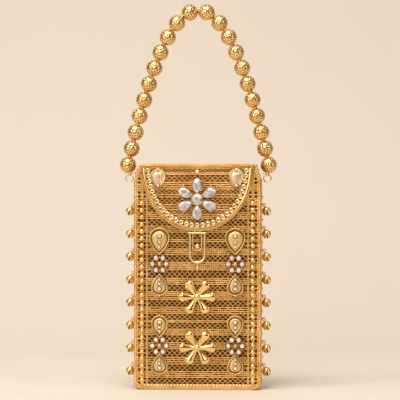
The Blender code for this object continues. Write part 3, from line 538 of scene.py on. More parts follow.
def rails(low, high, half_width, y):
    """Rails from the lower to the upper edge of a strip, and short rungs that close the slots between
    them at uneven places."""
    count = max(int(round((high - low) / RAIL_PITCH)), 1) + 1
    heights = np.linspace(low, high, count)
    made = [sweep(np.linspace((-half_width, y, z), (half_width, y, z), 3), round_section(RAIL_R, 8))
            for z in heights]
    for z in (heights[:-1] + heights[1:]) / 2:
        x = np.arange(-half_width, half_width, RUNG_PITCH)
        x = x[chance.random(len(x)) < RUNG_SHARE] + chance.uniform(-RUNG_SHIFT, RUNG_SHIFT)
        left, right = (points_at(x + reach, y + RUNG_BACK, z) for reach in (-RUNG_R, RUNG_R))
        made.append(bars(left, right, RUNG_R))
    return merge(*made)


# %% [markdown]
# ## Front
# The bands run the whole height of the front, also behind the flap. On each side a strip is left for
# the column of balls. It has a flat bar behind the balls and short rungs across, so that dark square
# holes show on both sides of the column.

# %% Front panel
FRONT_BANDS = [(4.2, 9.8), (14.4, 20.3), (25.6, 32.4), (37.2, 43.5), (48.0, 53.6), (54.9, 60.4),
               (65.4, 71.4), (77.6, 83.6), (88.2, 95.0), (101.0, 107.0), (111.5, 117.3), (118.9, 124.8),
               (129.5, 135.5), (140.5, 146.5), (151.5, 157.5), (162.5, 168.5)]
FIELD_HALF_W = 40.1 * MM
COLUMN_X = 43.8 * MM
EDGE_INSET = 1.5 * MM
EDGE_STEPS = 120
CORNER_R = 6.0 * MM
SHOULDER_INSET = 3.5 * MM
SHOULDER_DROP = 12.0 * MM
MOUTH_HALF_W = LID_HALF_W + GAP
MOUTH_BAR_DROP = 2.0 * MM
MOUTH_BAR_W = 6.0 * MM
COLUMN_BAR_W = 2.6 * MM
FIELD_BAR_W = 1.6 * MM
BAR_TOP = 170.0 * MM
BAR_BEVEL = 0.2 * MM
BAR_SHARE = 0.8
SIDE_MARGIN = 1.0 * MM
CROSS_BAR_R = 0.6 * MM
LOWEST_RAIL = 1.6 * MM
HIGHEST_RAIL = 172.4 * MM


def corner_arc(inset, steps=8):
    """The rounded lower right corner, from the side to the bottom."""
    angle = np.linspace(0.0, np.pi / 2, steps)
    reach = CORNER_R - inset
    return np.stack([HALF_W - CORNER_R + reach * np.cos(angle), CORNER_R - reach * np.sin(angle)], axis=1)


def panel_edge(inset):
    """The whole outline of the front or the back, from the right of the mouth round to the left."""
    right = np.array([(MOUTH_HALF_W + inset, TOP_Z - inset),
                      (HALF_W - SHOULDER_INSET - inset / 2, TOP_Z - inset),
                      (HALF_W - inset, TOP_Z - SHOULDER_DROP)])
    half = np.concatenate([right, corner_arc(inset)])
    return np.concatenate([half, half[::-1] * np.array([-1.0, 1.0])])


def in_plane(outline, y):
    """A flat outline of (x, z) set at a depth."""
    return points_at(outline[:, 0], y, outline[:, 1])


def flat_bar(line, width, thickness):
    """A bar along a line, with bevelled edges."""
    return sweep(line, flat_section(width, thickness, BAR_BEVEL))


def build_front():
    """The front: edge, bars, bands, rails and rungs in one piece."""
    rows = [(low * MM, high * MM) for low, high in FRONT_BANDS]
    edge = in_plane(even(panel_edge(EDGE_INSET), EDGE_STEPS), SHEET_Y)
    made = [flat_bar(edge, 2 * EDGE_INSET, PANEL_T * 0.5)]
    for side in (-1, 1):
        for x, width in ((COLUMN_X, COLUMN_BAR_W), (FIELD_HALF_W, FIELD_BAR_W)):
            line = points_at(side * x, SHEET_Y, [EDGE_INSET, BAR_TOP])
            made.append(flat_bar(line, width, PANEL_T * BAR_SHARE))
    for low, high in rows:
        made.append(crossed(low, high, FIELD_HALF_W, SHEET_Y))
    edges = [LOWEST_RAIL, *(z for row in rows for z in row), HIGHEST_RAIL]
    for low, high in zip(edges[::2], edges[1::2]):
        made.append(rails(low, high, HALF_W - SIDE_MARGIN, SHEET_Y))
    z = np.array([(low + high) / 2 for low, high in rows])
    for side in (-1, 1):
        starts = points_at(side * FIELD_HALF_W, SHEET_Y, z)
        ends = points_at(side * (HALF_W - SIDE_MARGIN), SHEET_Y, z)
        made.append(bars(starts, ends, CROSS_BAR_R, sides=8))
    mouth = points_at([-MOUTH_HALF_W, MOUTH_HALF_W], SHEET_Y, front_high.z - MOUTH_BAR_DROP)
    made.append(flat_bar(mouth, MOUTH_BAR_W, PANEL_T * BAR_SHARE))
    return merge(*made)


add_piece("front_lattice", build_front(), GOLD_WIRE, "pouch", replaces=["front_panel"])
print("front:", triangles["front_lattice"], "triangles")

# %% [markdown]
# A line of tiny balls runs round the edge of the front, and a row of larger ones lies along its bottom.

# %% Edge and bottom balls
EDGE_BALL_R = 0.85 * MM
EDGE_BALL_PITCH = 2.1 * MM
EDGE_BALL_INSET = 1.1 * MM
BASE_BALL_R = 1.15 * MM
BASE_BALL_PITCH = 2.6 * MM
BASE_BALL_Z = 3.3 * MM
BASE_BALL_OUT = 0.2 * MM

edge_line = panel_edge(EDGE_BALL_INSET)
edge_line = even(edge_line, int(length_of(edge_line) / EDGE_BALL_PITCH))
add_piece("edge_balls", repeat(ball(EDGE_BALL_R, 8, 7), in_plane(edge_line, FRONT_Y)), GOLD_POLISHED,
          "pouch")
count = int((2 * HALF_W - 2 * CORNER_R) / BASE_BALL_PITCH)
x = (np.arange(count) - (count - 1) / 2) * BASE_BALL_PITCH
row = points_at(x, FRONT_Y - BASE_BALL_OUT, BASE_BALL_Z)
add_piece("base_balls", repeat(ball(BASE_BALL_R), row), GOLD_CREAM, "pouch")
print("edge balls:", len(edge_line), "bottom balls:", count)

# %% [markdown]
# ## Columns of balls
# Near both edges of the front a cast strip of balls stands upright, with a squarish collar between each
# two. A collar is a short bar with four sides. The balls are a little fuller than the solid's.

# %% Ball columns
column_low, column_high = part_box("bead_column_right")
COLUMN_R = (column_high.x - column_low.x) / 2
COLUMN_Y = column_low.y + COLUMN_R
COLUMN_BALLS = 26
COLUMN_FULLNESS = 1.12
COLUMN_PITCH = (column_high.z - column_low.z) / COLUMN_BALLS
COLLAR_R = 1.25 * MM
COLLAR_HALF_H = 0.75 * MM
COLLAR_BACK = 0.2 * MM

for word, side in SIDES:
    z = column_low.z + (np.arange(COLUMN_BALLS) + 0.5) * COLUMN_PITCH
    balls = repeat(ball(COLUMN_R * COLUMN_FULLNESS, 20, 14), points_at(side * COLUMN_X, COLUMN_Y, z))
    z = np.clip(column_low.z + np.arange(COLUMN_BALLS + 1) * COLUMN_PITCH,
                column_low.z + COLLAR_HALF_H, column_high.z - COLLAR_HALF_H)
    low, high = (points_at(side * COLUMN_X, COLUMN_Y + COLLAR_BACK, z + rise)
                 for rise in (-COLLAR_HALF_H, COLLAR_HALF_H))
    collars = bars(low, high, COLLAR_R, sides=4)
    add_piece(f"ball_column_{word}", merge(balls, collars), GOLD_POLISHED, "pouch",
              replaces=[f"bead_column_{word}"])
print("columns:", COLUMN_BALLS, "balls each")

# %% [markdown]
# ## Back and sides
# The photograph doesn't show the back. The solid's lozenge windows are closed with the same kind of
# crossing wire, and a milled wire borders each one. The sides carry a lattice in relief between two
# milled wires, and a small ball above each bell.

# %% Back mesh
BACK_ROWS = [(12.0, 40.0), (52.0, 80.0), (92.0, 120.0), (132.0, 160.0)]
BACK_FIELD_W = 84.0 * MM
BACK_COLUMNS = 3
MESH_BAR = 1.5 * MM
MESH_PITCH = 2.5 * MM
MESH_WIRE_R = 0.36 * MM
MESH_BOW = 0.15 * MM
BORDER_BEADS = 36
BORDER_DEPTH = 0.4 * MM
LOZENGE_WIRE_R = 0.55 * MM
back_mid_y = BACK_Y - PANEL_T / 2


def window_mesh(x, low, high, width):
    """A mesh in one lozenge window: wires parallel to its sides, and a milled wire round it."""
    corners = np.array([(x + width / 2, (low + high) / 2), (x, high), (x - width / 2, (low + high) / 2),
                        (x, low)])
    side = np.linalg.norm(corners[0] - corners[1])
    count = int(side / MESH_PITCH)
    share = (np.arange(1, count) / count)[:, None]
    starts, ends = [], []
    for a, b, c, d in (corners[[0, 1, 3, 2]], corners[[1, 2, 0, 3]]):
        starts.append(a + (b - a) * share)
        ends.append(c + (d - c) * share)
    starts, ends = np.concatenate(starts), np.concatenate(ends)
    bow = np.repeat([MESH_BOW, -MESH_BOW], count - 1)
    mesh = bars(in_plane(starts, back_mid_y), in_plane(ends, back_mid_y), MESH_WIRE_R, bow=bow, steps=4)
    border = even(np.concatenate([corners, corners[:1]]), 4 * BORDER_BEADS + 1)[:-1]
    swell = 1.0 + MILL_DEPTH * np.cos(2 * np.pi * np.arange(4 * BORDER_BEADS) / 4)
    edge = sweep(in_plane(border, BACK_Y - BORDER_DEPTH), round_section(LOZENGE_WIRE_R, 6), closed=True,
                 scale=swell)
    return merge(mesh, edge)


windows = []
pitch = BACK_FIELD_W / BACK_COLUMNS
for low, high in BACK_ROWS:
    for i in range(BACK_COLUMNS):
        windows.append(window_mesh((i - 1) * pitch, low * MM, high * MM, pitch - MESH_BAR))
add_piece("back_mesh", merge(*windows), GOLD_WIRE, "pouch")
print("windows:", len(windows))

# %% [markdown]
# No light comes through the openwork in the photograph: its holes are warm brown in the flap and darker
# below. So a thin dark sheet lies behind the front and a lighter one behind the flap, painted shade for
# the shadowed inside, lighter in the flap where more light gets in. Both are guesses, as the inside doesn't
# show.

# %% Lining
SHADE_SHEET_T = 0.2 * MM
SHADE_SHEET_GAP = 0.05 * MM
SHADE_SHEET_INSET = 2.2 * MM


def flat_sheet(outline, y_back, thickness):
    """A flat sheet on a closed outline: two copies of the line, joined by a wall and closed by fans."""
    count = len(outline)
    middle = outline.mean(axis=0)[None]
    points = np.concatenate([in_plane(outline, y_back), in_plane(outline, y_back - thickness),
                             in_plane(middle, y_back), in_plane(middle, y_back - thickness)])
    ring = np.arange(count)
    return outward(points, grid_quads(2, count),
                   np.concatenate([fan(ring[::-1], 2 * count), fan(ring + count, 2 * count + 1)]))


# Painted shade: a dark sheet behind the front lattice, for the shadowed inside.
shade_sheet_y = FRONT_Y + PANEL_T + SHADE_SHEET_GAP + SHADE_SHEET_T
add_piece("front_painted_shade", flat_sheet(even(panel_edge(SHADE_SHEET_INSET), 90), shade_sheet_y, SHADE_SHEET_T), DARK_PAINTED_SHADE,
          "pouch")
print("lining:", triangles["front_painted_shade"], "triangles")

# %% Side relief
SIDE_STUD_R = 1.65 * MM
SIDE_STUD_RISE = 6.2 * MM
EDGE_WIRE_R = 0.6 * MM
SIDE_RAIL_R = 0.5 * MM
SIDE_HALF_D = 9.0 * MM
SIDE_CELLS = 4


def side_relief(side):
    """Two milled edge wires, a lattice between them and the small balls above the bells."""
    x = side * HALF_W
    top = TOP_Z - SHOULDER_DROP
    made = [milled((x, y, CORNER_R), (x, y, top), EDGE_WIRE_R) for y in (-SIDE_HALF_D, SIDE_HALF_D)]
    y = np.linspace(-SIDE_HALF_D, SIDE_HALF_D, SIDE_CELLS + 1)
    for low, high in [(low * MM, high * MM) for low, high in FRONT_BANDS if high * MM <= top]:
        z = np.repeat([low, high], SIDE_CELLS)
        made.append(bars(points_at(x, np.tile(y[:-1], 2), z), points_at(x, np.tile(y[1:], 2), z[::-1]),
                         WIRE_R, across=(1.0, 0.0, 0.0)))
        for z in (low, high):
            made.append(sweep(np.linspace((x, -SIDE_HALF_D, z), (x, SIDE_HALF_D, z), 3),
                              round_section(SIDE_RAIL_R, 6), across=(1.0, 0.0, 0.0)))
    bells = [joint["pos_m"][2] for joint in frame["joints"] if joint["name"].startswith("bell_left")]
    made.append(repeat(ball(SIDE_STUD_R, 16, 10), points_at(x, 0.0, np.array(bells) + SIDE_STUD_RISE)))
    return merge(*made)


for word, side in SIDES:
    add_piece(f"side_relief_{word}", side_relief(side), GOLD_WIRE, "pouch")
print("sides:", triangles["side_relief_left"], "triangles each")

# %% [markdown]
# ## Flap
# The flap is a top plate with an apron that hangs in front. Its edge is half of a superellipse, drawn
# from cosines and sines raised to the power 2/p. Insets of the same curve place its border, its rope
# and its cups.


# %% Flap curve and lattice
def apron_edge(inset, count, top):
    """The edge of the apron at an inset, from top right to top left, evenly spaced."""
    t = np.linspace(0.0, np.pi, 721)
    half_width, drop = LID_HALF_W - inset, APRON_DROP - inset
    x = np.sign(np.cos(t)) * half_width * np.abs(np.cos(t)) ** (2 / APRON_POWER)
    z = TOP_Z - drop * np.sin(t) ** (2 / APRON_POWER)
    curve = np.stack([x, z], axis=1)
    return even(curve[z <= top + 1e-9], count)


def apron_half_width(z, inset):
    """Half the apron's width at a height, the superellipse solved for x."""
    share = np.clip((TOP_Z - z) / (APRON_DROP - inset), 0.0, 1.0)
    return (LID_HALF_W - inset) * (1.0 - share ** APRON_POWER) ** (1.0 / APRON_POWER)


FLAP_BANDS = [(131.0, 135.6), (138.8, 142.7), (146.7, 152.6), (154.6, 159.0), (164.2, 170.5),
              (171.6, 175.4)]
FLAP_Y = (APRON_FRONT_Y + APRON_BACK_Y) / 2
RIM_COVER = 4.0 * MM
FRAME_INSET = 2.0 * MM
FRAME_W = 3.4 * MM
TOP_PLATE_T = 1.5 * MM
TOP_PLATE_BEVEL = 0.35 * MM
TOP_PLATE_OUT = 0.4 * MM
PIN_R = 0.6 * MM
PLATE_TO_PIN = 1.8 * MM


def build_flap():
    """Top plate, apron border, bands and rails."""
    plate_low = APRON_FRONT_Y - TOP_PLATE_OUT
    plate_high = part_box("hinge_pin")[0].y + PIN_R - PLATE_TO_PIN
    plate = points_at([-LID_HALF_W, LID_HALF_W], (plate_low + plate_high) / 2, TOP_Z - TOP_PLATE_T / 2)
    section = flat_section(plate_high - plate_low, TOP_PLATE_T, TOP_PLATE_BEVEL)
    edge = apron_edge(FRAME_INSET, EDGE_STEPS, TOP_Z - TOP_PLATE_T / 2)
    made = [sweep(plate, section, across=(0.0, 0.0, 1.0)), flat_bar(in_plane(edge, FLAP_Y), FRAME_W, PANEL_T)]
    rows = [(low * MM, high * MM) for low, high in FLAP_BANDS]
    for low, high in rows:
        made.append(crossed(low, high, apron_half_width(low, RIM_COVER), FLAP_Y))
    edges = [z for row in rows for z in row] + [TOP_Z - TOP_PLATE_T]
    for low, high in zip(edges[1::2], edges[2::2]):
        made.append(rails(low, high, apron_half_width(low, RIM_COVER), FLAP_Y))
    return merge(*made)


flap_parts = [build_flap()]
print("flap lattice:", len(flap_parts[0][0]), "points")

# %% [markdown]
# The flap turns on a barrel hinge at the top of the back, and two eyes under its tip carry the clasp.
# Each is a short tube, which is a small rectangle carried round a circle.

# %% Hinge barrels and eyes
HINGE_R = 1.5 * MM
HINGE_BORE_R = 0.72 * MM
HINGE_HALF_L = 42.0 * MM
KNUCKLES = 5
FLAP_KNUCKLES = (1, 3)
TUBE_BEVEL = 0.12 * MM
TAB_W = 2.4 * MM
TAB_T = 0.8 * MM
TAB_BEVEL = 0.1 * MM
TAB_RISE = 0.9 * MM
EYE_X = 2.2 * MM
EYE_L = 1.2 * MM
EYE_R = 1.4 * MM
EYE_BORE_R = 0.9 * MM
FLAP_SHADE_SHEET_INSET = 3.0 * MM
FLAP_SHADE_SHEET_DROP = 2.0 * MM
FLAP_SHADE_SHEET_GAP = 0.02 * MM
FLAP_SHADE_SHEET_T = 0.1 * MM
hinge = joint_at("lid_hinge")
clasp = joint_at("hasp_hinge")


def tube(centre, length, radius, bore, steps=28):
    """A tube along X: its wall's rectangle goes round the axis."""
    angle = np.linspace(0.0, 2 * np.pi, steps, endpoint=False)
    middle = (radius + bore) / 2
    path = points_at(centre[0], centre[1] + middle * np.cos(angle), centre[2] + middle * np.sin(angle))
    return sweep(path, flat_section(radius - bore, length, TUBE_BEVEL), across=(1.0, 0.0, 0.0), closed=True)


knuckle_l = 2 * HINGE_HALF_L / KNUCKLES
for i in FLAP_KNUCKLES:
    x = -HINGE_HALF_L + (i + 0.5) * knuckle_l
    flap_parts.append(tube((x, hinge[1], hinge[2]), knuckle_l - GAP, HINGE_R, HINGE_BORE_R))
    tab_half = knuckle_l / 2 - GAP
    tab = points_at([x - tab_half, x + tab_half], hinge[1] - TAB_W / 2, hinge[2] + TAB_RISE)
    flap_parts.append(sweep(tab, flat_section(TAB_W, TAB_T, TAB_BEVEL), across=(0.0, 0.0, 1.0)))
for side in (-1, 1):
    flap_parts.append(tube((side * EYE_X, clasp[1], clasp[2]), EYE_L, EYE_R, EYE_BORE_R))
add_piece("flap", merge(*flap_parts), GOLD_WIRE, "lid", replaces=["lid_shell"])

# Painted shade: a lighter dark sheet behind the flap's lattice, for its shadowed inside.
flap_field = apron_edge(FLAP_SHADE_SHEET_INSET, 100, TOP_Z - FLAP_SHADE_SHEET_DROP)
add_piece("flap_painted_shade", flat_sheet(flap_field, APRON_BACK_Y - FLAP_SHADE_SHEET_GAP, FLAP_SHADE_SHEET_T),
          FLAP_PAINTED_SHADE, "lid")
print("flap:", triangles["flap"], "triangles")

# %% [markdown]
# ## Rope border and cups
# A rope follows the apron's edge between two smooth wires. It is two wires twisted round each other: each
# strand's centre goes round the edge line in a helix, half a turn behind the other. Inside them lies a
# flat strip under a row of round cups, each with a stone.

# %% Rope border
BORDER_TOP = TOP_Z - 2.1 * MM
ROPE_INSET = 2.35 * MM
ROPE_PITCH = 2.2 * MM
ROPE_SAMPLES = 9
HELIX_R = 0.42 * MM
STRAND_R = 0.44 * MM
SMOOTH_INSETS = (1.2 * MM, 3.5 * MM)
SMOOTH_R = 0.55 * MM
ROPE_Y = TRIM_Y - SMOOTH_R
STRIP_INSET = 5.0 * MM
STRIP_W = 1.3 * MM
STRIP_T = 0.4 * MM
STRIP_BEVEL = 0.1 * MM


def rope(line, y):
    """Two strands round a flat line: point = line + h (cos f side + sin f backward)."""
    turns = length_of(line) / ROPE_PITCH
    line = in_plane(even(line, int(turns * ROPE_SAMPLES) + 1), y)
    side = unit(np.cross(unit(np.gradient(line, axis=0)), (0.0, 1.0, 0.0)))
    phase = np.linspace(0.0, 2 * np.pi * turns, len(line))
    made = []
    for start in (0.0, np.pi):
        turn = (phase + start)[:, None]
        strand = line + HELIX_R * (np.cos(turn) * side + np.sin(turn) * np.array([0.0, 1.0, 0.0]))
        made.append(sweep(strand, round_section(STRAND_R, 6)))
    return merge(*made)


border = [rope(apron_edge(ROPE_INSET, 700, BORDER_TOP), ROPE_Y)]
for inset in SMOOTH_INSETS:
    border.append(sweep(in_plane(apron_edge(inset, 200, BORDER_TOP), ROPE_Y), round_section(SMOOTH_R, 8)))
border.append(sweep(in_plane(apron_edge(STRIP_INSET, 160, BORDER_TOP), TRIM_Y - STRIP_BEVEL),
                    flat_section(STRIP_W, STRIP_T, STRIP_BEVEL)))
add_piece("flap_border", merge(*border), GOLD_POLISHED, "lid", replaces=["lid_rim"])
print("border:", triangles["flap_border"], "triangles")

# %% [markdown]
# A cup is a ring with a rounded rim. A stone is cut like a brilliant: a girdle, a crown turned by half
# a step and a flat table, so that every face is a plain facet.

# %% Cups and stones
CUP_SHAPE = [(0.0, 0.0), (0.7, 0.0), (0.96, 0.25), (1.0, 0.55), (0.9, 0.85), (0.72, 1.0), (0.56, 0.97),
             (0.40, 0.85), (0.36, 0.7), (0.0, 0.65)]
CROWN = 0.82 / 0.97
CROWN_RISE = 0.55
TABLE = 0.52
PAVILION = 0.25
GEM_SIDES = 8


def cup(radius, depth):
    """A round setting that faces -Y: a rim profile turned about the axis, with a floor inside."""
    return aimed(turned(np.array(CUP_SHAPE) * (radius, depth), 16), (0.0, 0.0, 0.0), (0.0, -1.0, 0.0))


def gem(outline, height):
    """A cut stone on an outline of (x, z): rings at the girdle, the crown and the table, joined by
    triangles, with the crown half a step round."""
    outline = np.asarray(outline, float)
    count = len(outline)
    middle = outline.mean(axis=0)
    between = (outline + np.roll(outline, -1, axis=0)) / 2
    rings = [(outline, 1.0, 0.0), (between, CROWN, CROWN_RISE), (outline, TABLE, 1.0)]
    points = [in_plane(middle + (ring - middle) * scale, -height * rise) for ring, scale, rise in rings]
    points += [in_plane(middle[None], -height), in_plane(middle[None], height * PAVILION)]
    here = np.arange(count)
    after = (here + 1) % count
    tris = [np.stack([here, after, here + count], axis=1),
            np.stack([after, after + count, here + count], axis=1),
            np.stack([here + count, after + 2 * count, here + 2 * count], axis=1),
            np.stack([here + count, after + count, after + 2 * count], axis=1),
            fan(here + 2 * count, 3 * count), fan(here[::-1], 3 * count + 1)]
    return outward(np.concatenate(points), np.zeros((0, 4), int), np.concatenate(tris))


def round_gem(radius, height):
    """A round cut stone."""
    return gem(round_section(radius, GEM_SIDES), height)


CUP_COUNT = 31
CUP_INSET = 5.55 * MM
CUP_R = 1.98 * MM
CUP_DEPTH = 1.5 * MM
CUP_Y = TRIM_Y - 0.35 * MM
CUP_STONE_R = 0.36 * CUP_R
CUP_STONE_H = 0.3 * MM
CUP_STONE_OUT = 1.1 * MM
line = apron_edge(CUP_INSET, 2 * CUP_COUNT + 1, BORDER_TOP)[1::2]
add_piece("flap_cups", repeat(cup(CUP_R, CUP_DEPTH), in_plane(line, CUP_Y)), GOLD_CREAM, "lid")
cup_stones = repeat(round_gem(CUP_STONE_R, CUP_STONE_H), in_plane(line, CUP_Y - CUP_STONE_OUT))
# Painted shade: the cups' stones are darker, for the shade in each cup.
add_piece("flap_stones", cup_stones, CRYSTAL_PAINTED_SHADE, "lid", sharp=0.0)
print("cups:", len(line))

# %% [markdown]
# ## Drop plates
# The ornaments and the flap's corners have drop-shaped plates. The outline is a teardrop: the width
# follows a sine that is bent towards one end. The plate is domed by pulling its rings of points forward
# as they shrink. A wire runs round it, and the groove between them has a floor of its own, which the
# ornaments colour dark as painted shade in the groove.


# %% Drop plates
GROOVE = 0.76
DROP_WIRE_R = 0.55 * MM
DROP_WIRE_OUT = 0.6 * MM
DROP_WALL = 0.6 * MM
FLOOR_T = 0.2 * MM
FLOOR_DOME = 0.05 * MM
BEZEL_SHARE = 1.12
BEZEL_DEPTH = 0.42


def teardrop(width, height, point_up, count=36):
    """A teardrop about the origin: x = 0.56 w sin t (sin t/2)^0.9, z = -h/2 cos t. Its point, at t = 0,
    is turned up by the other sign of z."""
    t = np.linspace(0.0, 2 * np.pi, count, endpoint=False)
    x = width * 0.56 * np.sin(t) * np.sin(t / 2) ** 0.9
    z = -height / 2 * np.cos(t) * (-1.0 if point_up else 1.0)
    return np.stack([x, z], axis=1)


def domed(outline, y_back, edge, dome, rings=7):
    """A plate on a closed outline: flat behind, with a wall and then rings that shrink by sin and come
    forward by cos up to the middle."""
    middle = outline.mean(axis=0)
    layers = [in_plane(outline, y_back)]
    for a in np.linspace(0.0, np.pi / 2, rings)[:-1]:
        shrunk = middle + (outline - middle) * np.cos(a)
        layers.append(in_plane(shrunk, y_back - edge - dome * np.sin(a)))
    count, rows = len(outline), len(layers)
    points = np.concatenate([*layers, in_plane(middle[None], y_back - edge - dome),
                             in_plane(middle[None], y_back)])
    last = np.arange(count) + (rows - 1) * count
    tris = np.concatenate([fan(last, rows * count), fan(np.arange(count)[::-1], rows * count + 1)])
    return outward(points, grid_quads(rows, count), tris)


def drop_plate(x, z, width, height, point_up, y_back, dome=0.7 * MM):
    """A domed drop with a wire round its edge, and the floor of the groove between them."""
    outline = teardrop(width, height, point_up) + np.array([x, z])
    middle = outline.mean(axis=0)
    edge = sweep(in_plane(outline, y_back - DROP_WIRE_OUT), round_section(DROP_WIRE_R, 8), closed=True)
    plate = domed(middle + (outline - middle) * GROOVE, y_back - FLOOR_T / 2, DROP_WALL, dome)
    return merge(edge, plate), domed(outline, y_back, FLOOR_T, FLOOR_DOME, rings=3)


def stone_set(places, radii, y):
    """Bezels and stones at places of (x, z)."""
    places, radii = np.asarray(places, float), np.asarray(radii, float)
    bezels = repeat(cup(1.0, BEZEL_DEPTH), in_plane(places, y), radii * BEZEL_SHARE)
    return bezels, repeat(round_gem(0.9, 0.6), in_plane(places, y - 0.3 * radii), radii)


# %% [markdown]
# ## Corner drops and crystal flower
# Two bright drops hang point down at the flap's upper corners, each with a line of small stones. In the
# middle sits a flower of six pear-cut crystals about a round one, held by small claws.

# %% Corner drops
CORNER_DROP_X = 30.9 * MM
CORNER_DROP_Z = 167.2 * MM
CORNER_DROP_W = 12.3 * MM
CORNER_DROP_H = 14.3 * MM
CORNER_STONES = [(5.4, 0.95), (2.2, 1.35), (-1.7, 1.25), (-5.6, 1.6)]
CORNER_DOME = 0.8 * MM
CORNER_STONE_OUT = 1.3 * MM
KNOB_R = 1.1 * MM
KNOB_OUT = 0.9 * MM

for word, side in SIDES:
    x = side * CORNER_DROP_X
    plate, floor = drop_plate(x, CORNER_DROP_Z, CORNER_DROP_W, CORNER_DROP_H, False, TRIM_Y, CORNER_DOME)
    places = [(x, CORNER_DROP_Z + up * MM) for up, _ in CORNER_STONES]
    radii = [radius * MM for _, radius in CORNER_STONES]
    bezels, stones = stone_set(places, radii, TRIM_Y - CORNER_STONE_OUT)
    knob = moved(ball(KNOB_R, 14, 9), x, TRIM_Y - KNOB_OUT, CORNER_DROP_Z + CORNER_DROP_H / 2)
    add_piece(f"corner_drop_plate_{word}", merge(plate, floor, knob), GOLD_CREAM, "lid",
              replaces=[f"corner_drop_{word}"])
    # Painted shade: the bezels are coloured dark for the shade round the stones.
    add_piece(f"corner_drop_settings_{word}", bezels, SETTING_PAINTED_SHADE, "lid")
    add_piece(f"corner_drop_stones_{word}", stones, CRYSTAL_SMALL, "lid", sharp=0.0)
print("corner stones:", len(CORNER_STONES), "on each side")

# %% Crystal flower
FLOWER_Z = 150.9 * MM
FLOWER_R = 10.6 * MM
PEAR_L = 11.7 * MM
PEAR_W = 8.4 * MM
FLOWER_CENTRE_R = 4.5 * MM
FLOWER_H = 2.6 * MM
FLOWER_ANGLES = (28.0, 90.0, 152.0, 208.0, 270.0, 332.0)
FLOWER_Y = TRIM_Y - 1.1 * MM
PEAR_RIM_R = 0.3 * MM
PEAR_RIM_BACK = 0.15 * MM
PEAR_WALL = 0.9 * MM
PEAR_DOME = 0.1 * MM
CENTRE_OUT = 0.3 * MM
CENTRE_WIRE_R = 0.42 * MM
CENTRE_WALL = 1.5 * MM
CLAW_REACH = 1.42 * FLOWER_R
CLAW_TURN = math.radians(38.0) * 0.42
CLAW_R = 0.62 * MM
CLAW_OUT = 0.5 * MM
FLAP_STUD_R = 1.9 * MM
FLAP_STUD_OUT = 0.8 * MM
FLAP_STUD_Z = 172.4 * MM


def spun(shape, degrees, x, z):
    """A shape turned in the front plane about the origin, then moved to a place."""
    a = math.radians(degrees)
    turn = np.array([[math.cos(a), 0.0, -math.sin(a)], [0.0, 1.0, 0.0], [math.sin(a), 0.0, math.cos(a)]])
    points, quads, tris = shape
    return points @ turn.T + np.array([x, 0.0, z]), quads, tris


def pear_outline(scale, count=14):
    """A pear, blunt on the outside and narrower towards the flower's middle: an ellipse whose width
    grows with height, x = w/2 sin t (0.92 + 0.24 cos t), z = h/2 cos t."""
    t = np.linspace(0.0, 2 * np.pi, count, endpoint=False)
    x = PEAR_W / 2 * np.sin(t) * (0.92 + 0.24 * np.cos(t))
    return scale * np.stack([x, PEAR_L / 2 * np.cos(t)], axis=1)


crystals, setting = [], []
for degrees in FLOWER_ANGLES:
    a = math.radians(degrees)
    x, z = FLOWER_R * math.cos(a), FLOWER_Z + FLOWER_R * math.sin(a)
    crystals.append(spun(moved(gem(pear_outline(1.0), FLOWER_H), y=FLOWER_Y), degrees - 90.0, x, z))
    rim = sweep(in_plane(pear_outline(1.02, 28), FLOWER_Y + PEAR_RIM_BACK), round_section(PEAR_RIM_R, 6),
                closed=True)
    back = domed(pear_outline(0.98, 28), TRIM_Y, PEAR_WALL, PEAR_DOME, rings=3)
    setting.append(spun(merge(rim, back), degrees - 90.0, x, z))
    turn = a + np.array([-CLAW_TURN, CLAW_TURN])
    tips = points_at(CLAW_REACH * np.cos(turn), FLOWER_Y - CLAW_OUT, FLOWER_Z + CLAW_REACH * np.sin(turn))
    setting.append(repeat(ball(CLAW_R, 10, 7), tips))
centre_gem = gem(round_section(FLOWER_CENTRE_R * 0.96, 14), FLOWER_H * 0.9)
crystals.append(moved(centre_gem, y=FLOWER_Y - CENTRE_OUT, z=FLOWER_Z))
setting.append(torus((0.0, FLOWER_Y - CLAW_OUT, FLOWER_Z), (0.0, 1.0, 0.0), FLOWER_CENTRE_R, CENTRE_WIRE_R,
                     40, 8))
drum = [(0.0, 0.0), (FLOWER_CENTRE_R, 0.0), (FLOWER_CENTRE_R, CENTRE_WALL), (0.0, CENTRE_WALL)]
setting.append(aimed(turned(drum, 32), (0.0, TRIM_Y, FLOWER_Z), (0.0, -1.0, 0.0)))
add_piece("flower_crystals", merge(*crystals), CRYSTAL_CLEAR, "lid",
          replaces=["crystal_flower"], sharp=0.0)
add_piece("flower_setting", merge(*setting), GOLD_POLISHED, "lid")
stud = moved(ball(FLAP_STUD_R, 18, 12), 0.0, APRON_FRONT_Y - FLAP_STUD_OUT, FLAP_STUD_Z)
add_piece("flap_stud", stud, GOLD_CREAM, "lid")
print("flower:", len(FLOWER_ANGLES), "pears")

# %% [markdown]
# ## Ornaments
# Each of the four ornaments on the front is a drop above, a ring of six stones about a small star, and
# a drop below. The drops carry a line of stones. The plates lie on the rails.

